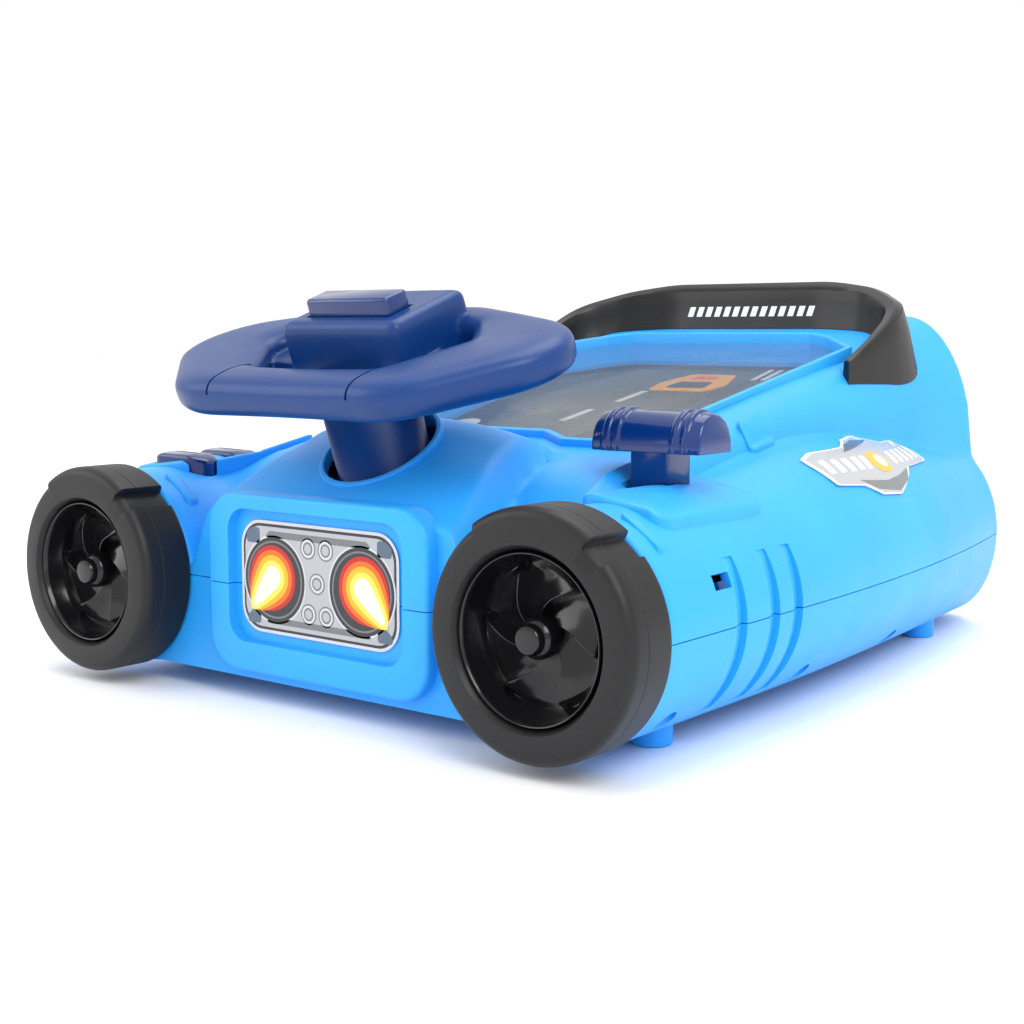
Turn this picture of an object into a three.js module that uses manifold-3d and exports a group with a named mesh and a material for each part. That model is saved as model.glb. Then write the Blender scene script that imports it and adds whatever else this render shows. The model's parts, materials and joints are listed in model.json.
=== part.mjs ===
// Table-top racing game: a two-shell plastic body shaped like a car seen from
// behind, with a steering wheel, a gear lever and two push buttons, and an LCD
// screen under a clear window.
//
// Millimetres. While the pieces are made, y = 0 is the front face of the tyres
// (the player's side), z = 0 is the wheel axis and x = 0 is the plane of
// symmetry. The last lines stand the whole group on z = 0, centred in plan.

import * as THREE from 'three';
import { mergeVertices } from 'three/addons/utils/BufferGeometryUtils.js';
import Module from 'manifold-3d';

const wasm = await Module();
wasm.setup();

// ---------------------------------------------------------------- sizes

const gap = 0.3;                 // between pieces that seat on each other
const runningGap = 0.5;          // between pieces that move past each other
const wall = 2.2;                // moulded wall

// body, seen from above
const podSpacing = 153;          // between the axes of the two pods
const podRadius = 26.8;
const frontWallY = 15.8;
const bodyRearY = 250;
const taperStartY = 73;          // behind here the body narrows
const rearTaper = 16.7;          // how much each side narrows
const rearCornerLength = 14;
const rearCornerDepth = 26;
const bellyZ = -25;
const footHeight = 3.8;

// wheels
const tyreRadius = 28.6;         // its raised top; the rest is lower by treadStep
const treadStep = 1.1;
const tyreWidth = 15.5;
const dishRadius = 20.3;         // opening in the front face
const hubRingRadius = 16.2;
const dishDepth = 8.5;
const hubRadius = 4.7;
const bladeCount = 6;

// window and screen
const rimSlope = 12;             // degrees
const rimBackY = 206.4;
const rimBackZ = 64.8;
const rimRise = 2;               // rim above the deck around it
const rimWall = 2;
const lensRecess = 3;
const lensThickness = 1.6;
const screenDepth = 9.2;         // front of the screen below the rim
const skirtDepth = 12;

// steering
const columnTilt = 19.2;         // degrees towards the player
const wheelCentreY = 31.9;
const wheelCentreZ = 52.7;       // underside of the wheel, on the column axis
const columnRadius = 12.5;
const collarRadius = 15.6;       // hole in the hood
const collarTilt = 33;
const rimHeight = 10.6;
const padHalfWidth = 19.1;
const padFront = -5.4;
const padTop = 18;
const hornHalfWidth = 14;
const hornDepth = 8.5;
const hornRise = 3.4;
const hornTravel = 1.5;

// gear lever
const leverX = 71.9;
const leverY = 58.9;
const stemWidth = 10.9;
const knobWidth = 30.6;
const knobDepth = 15.3;
const knobHeight = 10.3;
const knobBottomZ = 36.6;
const leverPivotZ = 6;
const leverSwing = 8;            // degrees, away from the player

// buttons on the left pod
const buttonX = -76;
const buttonYs = [37, 53];
const buttonLength = 21;
const buttonWidth = 10;
const buttonProud = 2;
const buttonTravel = 1.2;

// ---------------------------------------------------------------- helpers

const radians = THREE.MathUtils.degToRad;
const clamp = THREE.MathUtils.clamp;
const lerp = THREE.MathUtils.lerp;
const smoothstep = (y, low, high) => THREE.MathUtils.smoothstep(y, low, high);

// smooth minimum and maximum, with a blend about k wide
function softMin(a, b, k) {
  const h = Math.max(k - Math.abs(a - b), 0) / k;
  return Math.min(a, b) - (h * h * k) / 4;
}
const softMax = (a, b, k) => -softMin(-a, -b, k);

// value of a curve given by a few [position, value] knots, rounded at the knots
function along(knots, position, rounding = 0) {
  const at = (p) => {
    if (p <= knots[0][0]) return knots[0][1];
    for (let i = 1; i < knots.length; i += 1) {
      const [p1, v1] = knots[i];
      const [p0, v0] = knots[i - 1];
      if (p <= p1) return lerp(v0, v1, (p - p0) / (p1 - p0));
    }
    return knots[knots.length - 1][1];
  };
  if (rounding === 0) return at(position);
  let sum = 0;
  for (let i = -2; i <= 2; i += 1) sum += at(position + (rounding * i) / 2);
  return sum / 5;
}

function toSolid(geometry) {
  const bare = geometry.clone();
  bare.deleteAttribute('normal');
  bare.deleteAttribute('uv');
  const merged = mergeVertices(bare, 1e-4);
  const build = (corners) => new wasm.Manifold(new wasm.Mesh({
    numProp: 3,
    vertProperties: Float32Array.from(merged.attributes.position.array),
    triVerts: Uint32Array.from(corners),
  }));
  const solid = build(merged.index.array);
  // a profile drawn the other way round gives a surface that faces inwards
  return solid.volume() > 0 ? solid : build(Array.from(merged.index.array).reverse());
}

function toGeometry(solid) {
  const out = solid.getMesh();
  const geometry = new THREE.BufferGeometry();
  geometry.setAttribute('position', new THREE.BufferAttribute(out.vertProperties, 3));
  geometry.setIndex(new THREE.BufferAttribute(out.triVerts, 1));
  geometry.computeVertexNormals();
  return geometry;
}

const join = (...solids) => solids.reduce((a, b) => a.add(b));
const cut = (solid, ...tools) => tools.reduce((a, b) => a.subtract(b), solid);

// closed surface through rings of points; the ends are closed by fans
function loft(rings, closedPath = false) {
  const count = rings[0].length;
  const positions = rings.flat().flatMap((p) => [p.x, p.y, p.z]);
  const index = [];
  const steps = closedPath ? rings.length : rings.length - 1;
  for (let i = 0; i < steps; i += 1) {
    const a = i * count;
    const b = ((i + 1) % rings.length) * count;
    for (let j = 0; j < count; j += 1) {
      const k = (j + 1) % count;
      index.push(a + j, a + k, b + k, a + j, b + k, b + j);
    }
  }
  if (!closedPath) {
    const last = (rings.length - 1) * count;
    for (let j = 1; j < count - 1; j += 1) {
      index.push(0, j + 1, j, last, last + j, last + j + 1);
    }
  }
  const geometry = new THREE.BufferGeometry();
  geometry.setAttribute('position', new THREE.Float32BufferAttribute(positions, 3));
  geometry.setIndex(index);
  return toSolid(geometry);
}

// polygon with rounded corners, as a Shape
function roundedShape(corners, radius) {
  const shape = new THREE.Shape();
  corners.forEach((corner, i) => {
    const before = corners[(i + corners.length - 1) % corners.length];
    const after = corners[(i + 1) % corners.length];
    const p = new THREE.Vector2(...corner);
    const toBefore = new THREE.Vector2(...before).sub(p);
    const toAfter = new THREE.Vector2(...after).sub(p);
    const halfAngle = Math.abs(toBefore.angleTo(toAfter)) / 2;
    const room = Math.min(toBefore.length(), toAfter.length()) / 2;
    const reach = Math.min(radius / Math.tan(halfAngle), room * 0.98);
    const start = toBefore.clone().setLength(reach).add(p);
    const end = toAfter.clone().setLength(reach).add(p);
    const inwards = toBefore.clone().normalize().add(toAfter.clone().normalize());
    const centre = inwards.setLength(reach / Math.cos(halfAngle)).add(p);
    const from = start.clone().sub(centre);
    const to = end.clone().sub(centre);
    if (i === 0) shape.moveTo(start.x, start.y);
    else shape.lineTo(start.x, start.y);
    const clockwise = from.cross(to) < 0;
    shape.absarc(centre.x, centre.y, from.length(), from.angle(), to.angle(), clockwise);
  });
  return shape;
}

const rectangle = (width, height) => [
  [-width / 2, -height / 2],
  [width / 2, -height / 2],
  [width / 2, height / 2],
  [-width / 2, height / 2],
];

function extrude(shape, depth, options = {}) {
  return new THREE.ExtrudeGeometry(shape, {
    depth, bevelEnabled: false, curveSegments: 3, ...options,
  });
}

// block with rounded vertical edges, centred on x, y and standing on z = 0
const roundedBlock = (width, length, height, radius) => (
  toSolid(extrude(roundedShape(rectangle(width, length), radius), height)));

function cylinder(radius, height, sides = 24) {
  const geometry = new THREE.CylinderGeometry(radius, radius, height, sides);
  geometry.rotateX(Math.PI / 2);
  return toSolid(geometry);
}

const box = (x0, x1, y0, y1, z0, z1) => {
  const geometry = new THREE.BoxGeometry(x1 - x0, y1 - y0, z1 - z0);
  geometry.translate((x0 + x1) / 2, (y0 + y1) / 2, (z0 + z1) / 2);
  return toSolid(geometry);
};

const lathe = (profile, sides) => toSolid(
  new THREE.LatheGeometry(profile.map(([r, y]) => new THREE.Vector2(r, y)), sides));

const mirrored = (solid) => solid.mirror([1, 0, 0]);

// ---------------------------------------------------------------- body form

const podX = podSpacing / 2;
const bodyHalfWidth = podX + podRadius;
const rearCornerY = bodyRearY - rearCornerLength;
const topEdgeRounding = 10;

// half width of the body at the joint between the shells
function halfWidth(y) {
  const t = clamp((y - taperStartY) / (rearCornerY - taperStartY), 0, 1.1);
  const corner = clamp((y - rearCornerY) / rearCornerLength, 0, 1);
  const round = rearCornerDepth * (1 - Math.sqrt(1 - corner * corner));
  return bodyHalfWidth - rearTaper * t * t - round;
}

const rimPlane = (y) => rimBackZ + (y - rimBackY) * Math.tan(radians(rimSlope));
const deckBackStartY = 78;
const deckKnots = [[frontWallY, 2.5], [51, 30], [deckBackStartY, rimPlane(deckBackStartY) - rimRise]];
const deckHeight = (y) => (y < deckBackStartY + 4
  ? along([...deckKnots, [120, rimPlane(120) - rimRise]], y, 5)
  : rimPlane(y) - rimRise);

// rounding of the top towards the rear wall
function rearDrop(y) {
  const t = clamp((y - (bodyRearY - topEdgeRounding)) / topEdgeRounding, 0, 1);
  return topEdgeRounding * (1 - Math.sqrt(1 - t * t));
}

const podCrest = (y) => podX - 9 * smoothstep(y, 60, 140) - 3 * smoothstep(y, 140, 236);
const podHeight = (y) => podRadius + 8.5 * smoothstep(y, 60, 140) - 6.8 * smoothstep(y, 140, 236);
const deckFoot = (y) => Math.min(67 + 0.06 * (Math.max(y, 78) - 110), halfWidth(y) - 8);
const shoulderWidth = (y) => lerp(11, 25, smoothstep(y, 80, 236));

function podTop(x, y) {
  const crest = podCrest(y);
  const spread = x > crest ? Math.max(halfWidth(y) - crest, 1) : podRadius;
  const t = clamp(Math.abs(x - crest) / spread, 0, 1);
  return podHeight(y) * Math.sqrt(1 - t * t);
}

// the deck is level across, then falls in a quarter ellipse to its foot on the pod
function deckTop(x, y) {
  const level = deckHeight(y) - rearDrop(y);
  const foot = deckFoot(y);
  const low = Math.min(podTop(foot, y), level);
  const t = clamp((x - foot + shoulderWidth(y)) / shoulderWidth(y), 0, 1);
  const beyond = Math.max(x - foot, 0);
  return low + (level - low) * Math.sqrt(1 - t * t) - 3 * beyond;
}

const hoodCrown = [[12, 18.8], [37.4, 35], [50, 42.6], [57, 42.6], [66, 39], [74, 36.4], [80, 30], [90, 15]];
const hoodEdge = [[13, 43], [45, 35], [60, 35], [90, 38]];

function hoodTop(x, y) {
  const crown = along(hoodCrown, y, 5);
  const edge = along(hoodEdge, y, 5);
  const bulge = 2 + 2.5 * smoothstep(y, 30, 48);
  const arch = crown - bulge * (x / edge) ** 2;
  return softMin(arch, crown - bulge - 2.4 * (x - edge), 5);
}

// height of the upper shell's outside over the joint
function topHeight(signedX, y) {
  const x = Math.abs(signedX);
  const body = softMax(podTop(x, y), deckTop(x, y), 5);
  return Math.max(softMax(body, hoodTop(x, y), 2.5), 0);
}

const bellyRounding = 7;

// depth of the lower shell's outside under the joint
function bottomDepth(signedX, y) {
  const x = Math.abs(signedX);
  const crest = podX - 6 * smoothstep(y, 60, 236);
  const spread = Math.max(halfWidth(y) - crest, 1);
  const t = clamp((x - crest) / spread, 0, 1);
  const rear = clamp((y - (bodyRearY - bellyRounding)) / bellyRounding, 0, 1);
  const lift = bellyRounding * 0.9 * (1 - Math.sqrt(1 - rear * rear));
  const pod = podRadius * Math.sqrt(1 - t * t);
  const belly = Math.min(pod, -bellyZ + (podRadius + bellyZ) * smoothstep(x, crest - 14, crest));
  return Math.max(belly - lift * (1 - t * t), 0);
}

// positions across the body that follow its edges: hood or deck edge, foot, side
function stationsAcross(y, counts) {
  const shoulder = lerp(along(hoodEdge, y, 5), deckFoot(y) - shoulderWidth(y), smoothstep(y, 50, 80));
  const foot = lerp(podX - podRadius + 2, deckFoot(y), smoothstep(y, 45, 80));
  const side = halfWidth(y);
  const marks = [0, shoulder, foot, side];
  const half = [0];
  for (let i = 1; i < marks.length; i += 1) {
    for (let j = 1; j <= counts[i - 1]; j += 1) {
      const t = j / counts[i - 1];
      const s = i === marks.length - 1 ? Math.sin((t * Math.PI) / 2) : t;
      half.push(lerp(marks[i - 1], marks[i], s));
    }
  }
  return [...half.slice(1).reverse().map((x) => -x), ...half];
}

const leastHeight = 0.05;        // keeps the surface off the level plane inside its edge

// solid between a level plane and a surface height(x, y) above it
function fieldSolid(rows, across, height, level, inset = 0) {
  const columns = across(rows[0]).length;
  const top = rows.map((y) => {
    const side = halfWidth(y) - inset;
    return across(y).map((x, i) => {
      const onEdge = i === 0 || i === columns - 1;
      const px = (x / halfWidth(y)) * side;
      return new THREE.Vector3(px, y, onEdge ? level : Math.max(height(px, y), level + leastHeight));
    });
  });
  const positions = top.flat().flatMap((p) => [p.x, p.y, p.z]);
  const index = [];
  const at = (r, c) => r * columns + c;
  for (let r = 0; r < rows.length - 1; r += 1) {
    for (let c = 0; c < columns - 1; c += 1) {
      index.push(at(r, c), at(r, c + 1), at(r + 1, c + 1), at(r, c), at(r + 1, c + 1), at(r + 1, c));
    }
  }
  const lastRow = rows.length - 1;
  const base = (r, c) => {
    const p = top[r][c];
    positions.push(p.x, p.y, level);
    return positions.length / 3 - 1;
  };
  const front = top[0].map((_, c) => base(0, c));
  const back = top[lastRow].map((_, c) => base(lastRow, c));
  for (let c = 0; c < columns - 1; c += 1) {
    index.push(at(0, c), front[c], front[c + 1], at(0, c), front[c + 1], at(0, c + 1));
    index.push(at(lastRow, c), back[c + 1], back[c], at(lastRow, c), at(lastRow, c + 1), back[c + 1]);
  }
  const loop = [...front];
  for (let r = 1; r < lastRow; r += 1) loop.push(at(r, columns - 1));
  loop.push(...[...back].reverse());
  for (let r = lastRow - 1; r > 0; r -= 1) loop.push(at(r, 0));
  const flat = loop.map((i) => new THREE.Vector2(positions[3 * i], positions[3 * i + 1]));
  const faces = THREE.ShapeUtils.triangulateShape(flat, []);
  faces.forEach(([a, b, c]) => index.push(loop[a], loop[c], loop[b]));
  const geometry = new THREE.BufferGeometry();
  geometry.setAttribute('position', new THREE.Float32BufferAttribute(positions, 3));
  geometry.setIndex(index);
  return toSolid(geometry);
}

// rows along the body: even, but closer together where the form turns
const bodyRows = [];
for (let y = frontWallY; y < rearCornerY - 3; y += y < 84 ? 5.6 : 15) bodyRows.push(y);
for (let i = 0; i <= 4; i += 1) {
  bodyRows.push(rearCornerY + rearCornerLength * Math.sin((i * Math.PI) / 8));
}
const joint = 0.12;              // half of the fine line between the shells

const acrossFine = (y) => stationsAcross(y, [5, 3, 5]);
const upperForm = fieldSolid(bodyRows, acrossFine, (x, y) => topHeight(x, y), joint);
const lowerForm = fieldSolid(bodyRows, (y) => stationsAcross(y, [1, 1, 6]), bottomDepth, joint)
  .mirror([0, 0, 1]);

// inside of a wall: the outside moved in by the wall on every side
function inner(height) {
  return (x, y) => {
    let z = height(x, y) - wall;
    for (let i = 0; i < 8; i += 1) {
      const a = (i * Math.PI) / 4;
      z = Math.min(z, height(x + wall * Math.cos(a), y + wall * Math.sin(a)));
    }
    return z;
  };
}
const innerFront = frontWallY + wall;
const innerRear = bodyRearY - wall - 1;
const innerRows = [innerFront, ...bodyRows.filter((y) => y > innerFront + 1 && y < innerRear - 1), innerRear];
const upperHollow = fieldSolid(innerRows, acrossFine, inner(topHeight), -1, wall);
const lowerHollow = fieldSolid(innerRows, (y) => stationsAcross(y, [1, 2, 3]), inner(bottomDepth), -1, wall)
  .mirror([0, 0, 1]);

// ---------------------------------------------------------------- window rim

// outer edge of the rim, right half from front to back
const rimRight = [[19.5, 81.6], [29.8, 75.1], [51.6, 75.1], [58.3, 186.6], [43.5, 201.5], [34.9, rimBackY]];
const rimOutline = [...rimRight, ...rimRight.map(([x, y]) => [-x, y]).reverse()];

// outline moved inwards by a distance, corner by corner
function inset(outline, distance) {
  return outline.map((p, i) => {
    const a = outline[(i + outline.length - 1) % outline.length];
    const b = outline[(i + 1) % outline.length];
    const d1 = new THREE.Vector2(p[0] - a[0], p[1] - a[1]).normalize();
    const d2 = new THREE.Vector2(b[0] - p[0], b[1] - p[1]).normalize();
    const n = new THREE.Vector2(-d1.y - d2.y, d1.x + d2.x).normalize();
    const reach = distance / Math.max(n.dot(new THREE.Vector2(-d1.y, d1.x)), 0.3);
    return [p[0] + n.x * reach, p[1] + n.y * reach];
  });
}

// upright prism whose ends lie parallel to the sloping rim plane
function slopingSlab(corners, low, high, radius = 1.5) {
  const geometry = extrude(roundedShape(corners, radius), high - low, { curveSegments: 1 });
  const position = geometry.attributes.position;
  for (let i = 0; i < position.count; i += 1) {
    position.setZ(i, position.getZ(i) + low + rimPlane(position.getY(i)));
  }
  return toSolid(geometry);
}
const rimInset = (distance) => inset(rimOutline, distance);

// ---------------------------------------------------------------- steering frame

const columnAxis = new THREE.Vector3(0, -Math.sin(radians(columnTilt)), Math.cos(radians(columnTilt)));
const steeringFrame = new THREE.Matrix4()
  .makeRotationX(radians(columnTilt))
  .setPosition(0, wheelCentreY, wheelCentreZ);

// solid made about the wheel's underside, +Z along the column, moved into place
const inSteeringFrame = (solid) => solid.transform(steeringFrame.elements);

// where the column's axis crosses a level of the hood
const collarDrop = (wheelCentreZ - 35.1) / columnAxis.z;
const collarCentre = new THREE.Vector3(0, wheelCentreY, wheelCentreZ).addScaledVector(columnAxis, -collarDrop);
const collarLip = 1.5;
const collarHeight = 1.2;        // over the hood at the collar's centre
const collarFrame = new THREE.Matrix4()
  .makeRotationX(radians(collarTilt))
  .setPosition(collarCentre.x, collarCentre.y, collarCentre.z);

// ---------------------------------------------------------------- front frame

const panelWidth = 61;
const panelLow = -14.6;
const panelHigh = 20;
const panelFrameWidth = 8;
const panelFrontY = 12.3;
const panelFloorY = 14.9;

// upright prism facing the player, from y0 to y1
function facingPrism(corners, radius, y0, y1) {
  const geometry = extrude(roundedShape(corners, radius), y1 - y0, { curveSegments: 2 });
  geometry.rotateX(Math.PI / 2);
  geometry.translate(0, y1, 0);
  return toSolid(geometry);
}
const panelCorners = (grow) => [
  [-panelWidth / 2 - grow, panelLow - grow],
  [panelWidth / 2 + grow, panelLow - grow],
  [panelWidth / 2 + grow, panelHigh + grow * 0.5],
  [-panelWidth / 2 - grow, panelHigh + grow * 0.5],
];
const frameBlock = facingPrism(panelCorners(panelFrameWidth), 10, panelFrontY, frontWallY + 3);
const framePocket = facingPrism(panelCorners(0), 6, panelFrontY - 1, panelFloorY);
const above = box(-200, 200, -50, 400, joint, 200);
const below = box(-200, 200, -50, 400, -200, -joint);

// ---------------------------------------------------------------- gills and ribs on the pods

const gillEdges = [47, 62, 73];
const gillLength = 5;
const gillDepth = 1.5;
const gillFrom = 56;             // degrees from the top, towards the outside
const gillTo = 140;
const gillSteps = 7;

// crescent scoop in the pod's side, deepest at its sharp rear edge
function gill(edgeY) {
  const rings = [];
  for (let i = 0; i <= gillSteps; i += 1) {
    const t = i / gillSteps;
    const angle = radians(lerp(gillFrom, gillTo, t));
    const depth = 0.1 + gillDepth * Math.sqrt(Math.sin(Math.PI * clamp(t, 0.02, 0.98)));
    const out = new THREE.Vector3(Math.sin(angle), 0, Math.cos(angle));
    const at = (r, y) => out.clone().multiplyScalar(r).add(new THREE.Vector3(podX, y, 0));
    rings.push([
      at(podRadius + 1.5, edgeY - gillLength),
      at(podRadius + 1.5, edgeY),
      at(podRadius - depth, edgeY),
      at(podRadius, edgeY - gillLength),
    ]);
  }
  return loft(rings);
}
const gills = gillEdges.map(gill).reduce((a, b) => a.add(b));

// raised pad that follows the pod's top inside an outline seen from above
function raisedPad(corners, rise) {
  const ys = corners.map(([, y]) => y);
  const rows = [];
  for (let y = Math.min(...ys) - 1; y <= Math.max(...ys) + 2; y += 3.5) rows.push(Math.max(y, frontWallY));
  const raised = fieldSolid(rows, acrossFine, (x, y) => topHeight(x, y) + rise, 5);
  return raised.intersect(toSolid(extrude(roundedShape(corners, 3), 60)));
}
const platformRise = 2.3;
const platform = raisedPad([[69, 30.5], [92, 29], [92.5, 74], [60, 74], [60, 52]], platformRise);
const archRibOuter = raisedPad([[86, 21.5], [96.5, 21.5], [96.5, 25], [86, 25]], 1.2);
const archRibInner = raisedPad([[56.5, 21.5], [67, 21.5], [67, 25], [56.5, 25]], 1.2);
const latch = raisedPad([[63, 109], [69, 109], [69, 121], [63, 121]], 2);

// ---------------------------------------------------------------- screws between the shells

const screwSpots = [[94, 27.1], [94, 88], [90.5, 146]];
const bossRadius = 4.2;
const screwHeadRadius = 2.7;
const screwShankRadius = 1.3;
const screwFloorZ = -8;
const screwTop = 8;
const screwPlaces = screwSpots.flatMap(([x, y]) => [[x, y], [-x, y]]);
const peg = (x, y, r, z0, z1, sides = 12) => cylinder(r, z1 - z0, sides).translate([x, y, (z0 + z1) / 2]);

// ---------------------------------------------------------------- power switch

const switchY = 39.2;            // middle of the slot along the body
const switchAngle = 67;          // degrees from the top
const switchSlotWidth = 3.6;
const switchSlotHeight = 7.2;
const switchKnobHeight = 3.4;
const switchOut = new THREE.Vector3(Math.sin(radians(switchAngle)), 0, Math.cos(radians(switchAngle)));
const switchFrame = new THREE.Matrix4()
  .makeRotationY(radians(switchAngle))
  .setPosition(podX, switchY, 0);
// made with +Z outwards from the pod's axis, then turned into place
const inSwitchFrame = (solid) => solid.transform(switchFrame.elements);

// ---------------------------------------------------------------- steering wheel and column

const rimRightHalf = [[37.1, -30.6], [76.3, 9.2], [21.3, 30.6]];
const mirrorHalf = (half) => [...half, ...half.map(([x, y]) => [-x, y]).reverse()];
const rimCornerRadius = 18.7;
const gripRightHalf = [[21, -15.6], [34, 3.5], [26, 15.8]];
const spokeLow = 1;
const spokeHigh = 5;
const padBack = 23;

function steeringWheel() {
  const ringShape = roundedShape(inset(mirrorHalf(rimRightHalf), 3), rimCornerRadius);
  ringShape.holes.push(roundedShape(inset(mirrorHalf(gripRightHalf), -3), 8));
  const ring = toSolid(extrude(ringShape, rimHeight - 5.6, {
    bevelEnabled: true, bevelSize: 3, bevelThickness: 2.8, bevelSegments: 2,
  }).translate(0, 0, 2.8));
  const pad = toSolid(extrude(roundedShape([
    [-padHalfWidth, padFront], [padHalfWidth, padFront], [padHalfWidth, padBack], [-padHalfWidth, padBack],
  ], 3), padTop - 2.2, { bevelEnabled: true, bevelSize: 1, bevelThickness: 1.1, bevelSegments: 2 })
    .translate(0, 0, 1.1));
  const spokes = box(-40, 40, -2, 9, spokeLow, spokeHigh);
  const boss = cylinder(columnRadius + 1, 5, 32).translate([0, 0, 2.5 + gap]);
  const hornPocket = roundedBlock(
    2 * (hornHalfWidth + runningGap), hornDepth + 2 * runningGap, 30, 1.6).translate([0, hornDepth / 2, 8]);
  const screwWell = cylinder(3.2, 9, 16).translate([0, 0, 10]);
  return cut(join(ring, pad, spokes, boss), hornPocket, screwWell, cylinder(1.9, 30, 16));
}

function hornButton() {
  const top = padTop + hornRise;
  const bottom = padTop - 7;
  return toSolid(extrude(roundedShape(rectangle(2 * hornHalfWidth - 1.2, hornDepth - 1.2), 1.4), top - bottom - 1.2, {
    bevelEnabled: true, bevelSize: 0.6, bevelThickness: 0.6, bevelSegments: 2,
  }).translate(0, hornDepth / 2, bottom + 0.6));
}

const columnLength = 44;
const flangeDrop = collarDrop + 6.4;
const flangeRadius = collarRadius + 0.9;
const journalRadius = 8;
const journalLength = 10;
function steeringColumn() {
  const bottom = -columnLength;
  const profile = [
    [2.2, 0], [columnRadius, 0], [columnRadius, -flangeDrop], [flangeRadius, -flangeDrop],
    [flangeRadius, -flangeDrop - 1.8], [columnRadius, -flangeDrop - 1.8], [columnRadius, bottom + journalLength],
    [journalRadius, bottom + journalLength], [journalRadius, bottom], [2.2, bottom], [2.2, 0],
  ];
  const geometry = new THREE.LatheGeometry(profile.reverse().map(([r, y]) => new THREE.Vector2(r, y)), 32);
  geometry.rotateX(Math.PI / 2);
  return toSolid(geometry);
}
// plate under the hood that holds the column's lower end, on two bosses of the upper shell
const plateTop = -columnLength + journalLength - gap;
const plateThickness = 3;
const plateBossX = 24;
const plateBossRadius = 4;
const bearingPlate = cut(
  roundedBlock(2 * (plateBossX + plateBossRadius), 24, plateThickness, 4).translate([0, 0, plateTop - plateThickness]),
  cylinder(journalRadius + 0.35, 20, 32).translate([0, 0, plateTop]),
  ...[-1, 1].map((side) => cylinder(1.6, 20, 12).translate([side * plateBossX, 0, plateTop])),
);
const plateBoss = (side) => inSteeringFrame(cut(
  cylinder(plateBossRadius, 30, 16).translate([side * plateBossX, 0, plateTop + gap + 15]),
  cylinder(1.6, 16, 12).translate([side * plateBossX, 0, plateTop + 5]),
));
const plateScrew = (side) => inSteeringFrame(join(
  cylinder(2.6, 1.8, 12).translate([side * plateBossX, 0, plateTop - plateThickness - gap - 0.9]),
  cylinder(1.3, 11, 12).translate([side * plateBossX, 0, plateTop - plateThickness + 4.5]),
));
const retainer = cut(
  cylinder(journalRadius + 3, 1.6, 24).translate([0, 0, -columnLength - gap - 0.8]),
  cylinder(1.9, 10, 16).translate([0, 0, -columnLength]),
);
const columnScrew = join(
  cylinder(3, 2, 16).translate([0, 0, -columnLength - gap - 1.6 - gap - 1]),
  cylinder(1.5, 12, 12).translate([0, 0, -columnLength + 2]),
);

// ---------------------------------------------------------------- upper shell

const skirt = cut(
  slopingSlab(rimOutline, -skirtDepth, 0),
  slopingSlab(rimInset(rimWall), -lensRecess - lensThickness - gap, 1),
  slopingSlab(rimInset(rimWall + 1.2), -skirtDepth - 1, 0),
);
const collarOuter = cylinder(collarRadius + collarLip, 5.6, 40)
  .translate([0, 0, collarHeight - 2.8])
  .transform(collarFrame.elements);
const collarHole = cylinder(collarRadius, 30, 40).transform(collarFrame.elements);

const slotFrontY = leverY - stemWidth / 2 - runningGap;
const slotBackY = leverY + stemWidth / 2 + 5;
const leverSlot = box(
  leverX - stemWidth / 2 - 2.2, leverX + stemWidth / 2 + runningGap, slotFrontY, slotBackY, 12, 60);

const buttonShape = roundedShape(rectangle(buttonLength, buttonWidth), buttonWidth / 2);
const buttonHole = (y) => toSolid(extrude(roundedShape(
  rectangle(buttonLength + 2 * runningGap, buttonWidth + 2 * runningGap), buttonWidth / 2 + runningGap), 40))
  .translate([buttonX, y, 10]);

let upperShell = join(upperForm, frameBlock.intersect(above));
for (const pad of [platform, archRibOuter, archRibInner, latch]) {
  upperShell = join(upperShell, pad, mirrored(pad));
}
upperShell = join(upperShell, collarOuter.intersect(box(-60, 60, 20, 80, 22, 60)));
upperShell = cut(upperShell, upperHollow, framePocket, collarHole);
upperShell = cut(upperShell, slopingSlab(rimInset(rimWall), -30, 5));
const upperBosses = screwPlaces.map(([x, y]) => peg(x, y, bossRadius, joint, 22))
  .reduce((a, b) => a.add(b)).intersect(upperForm);
upperShell = join(upperShell, skirt, upperBosses);
for (const side of [-1, 1]) upperShell = join(upperShell, plateBoss(side).intersect(upperForm));
for (const [x, y] of screwPlaces) upperShell = cut(upperShell, peg(x, y, screwShankRadius + gap, -1, screwTop + 1));
upperShell = cut(upperShell, gills, mirrored(gills), leverSlot, ...buttonYs.map(buttonHole));
const switchSlot = inSwitchFrame(toSolid(extrude(
  roundedShape(rectangle(switchSlotHeight, switchSlotWidth), 0.4), 12)).translate([0, 0, podRadius - 9]));
upperShell = cut(upperShell, switchSlot);

// ---------------------------------------------------------------- push buttons

const buttonFlange = 1.2;
const padLevel = (x, y) => topHeight(x, y) + platformRise;
const buttonTopZ = (y) => padLevel(buttonX, y) + buttonProud;
const buttonFlangeZ = (y) => padLevel(buttonX, y) - 11;

function pushButton(y) {
  const bottom = buttonFlangeZ(y);
  const stem = toSolid(extrude(buttonShape, buttonTopZ(y) - bottom)).translate([buttonX, y, bottom]);
  const flange = toSolid(extrude(roundedShape(
    rectangle(buttonLength + 3, buttonWidth + 3), buttonWidth / 2 + 1.5), buttonFlange))
    .translate([buttonX, y, bottom]);
  return join(stem.intersect(raisedButtonTop(y)), flange);
}

// everything under the button's top, which follows the pad's curve
function raisedButtonTop(y) {
  const rows = [];
  for (let row = y - 9; row <= y + 9; row += 3) rows.push(row);
  return fieldSolid(rows, (ry) => stationsAcross(ry, [1, 1, 14]), (x, ry) => padLevel(x, ry) + buttonProud, 2);
}

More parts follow.
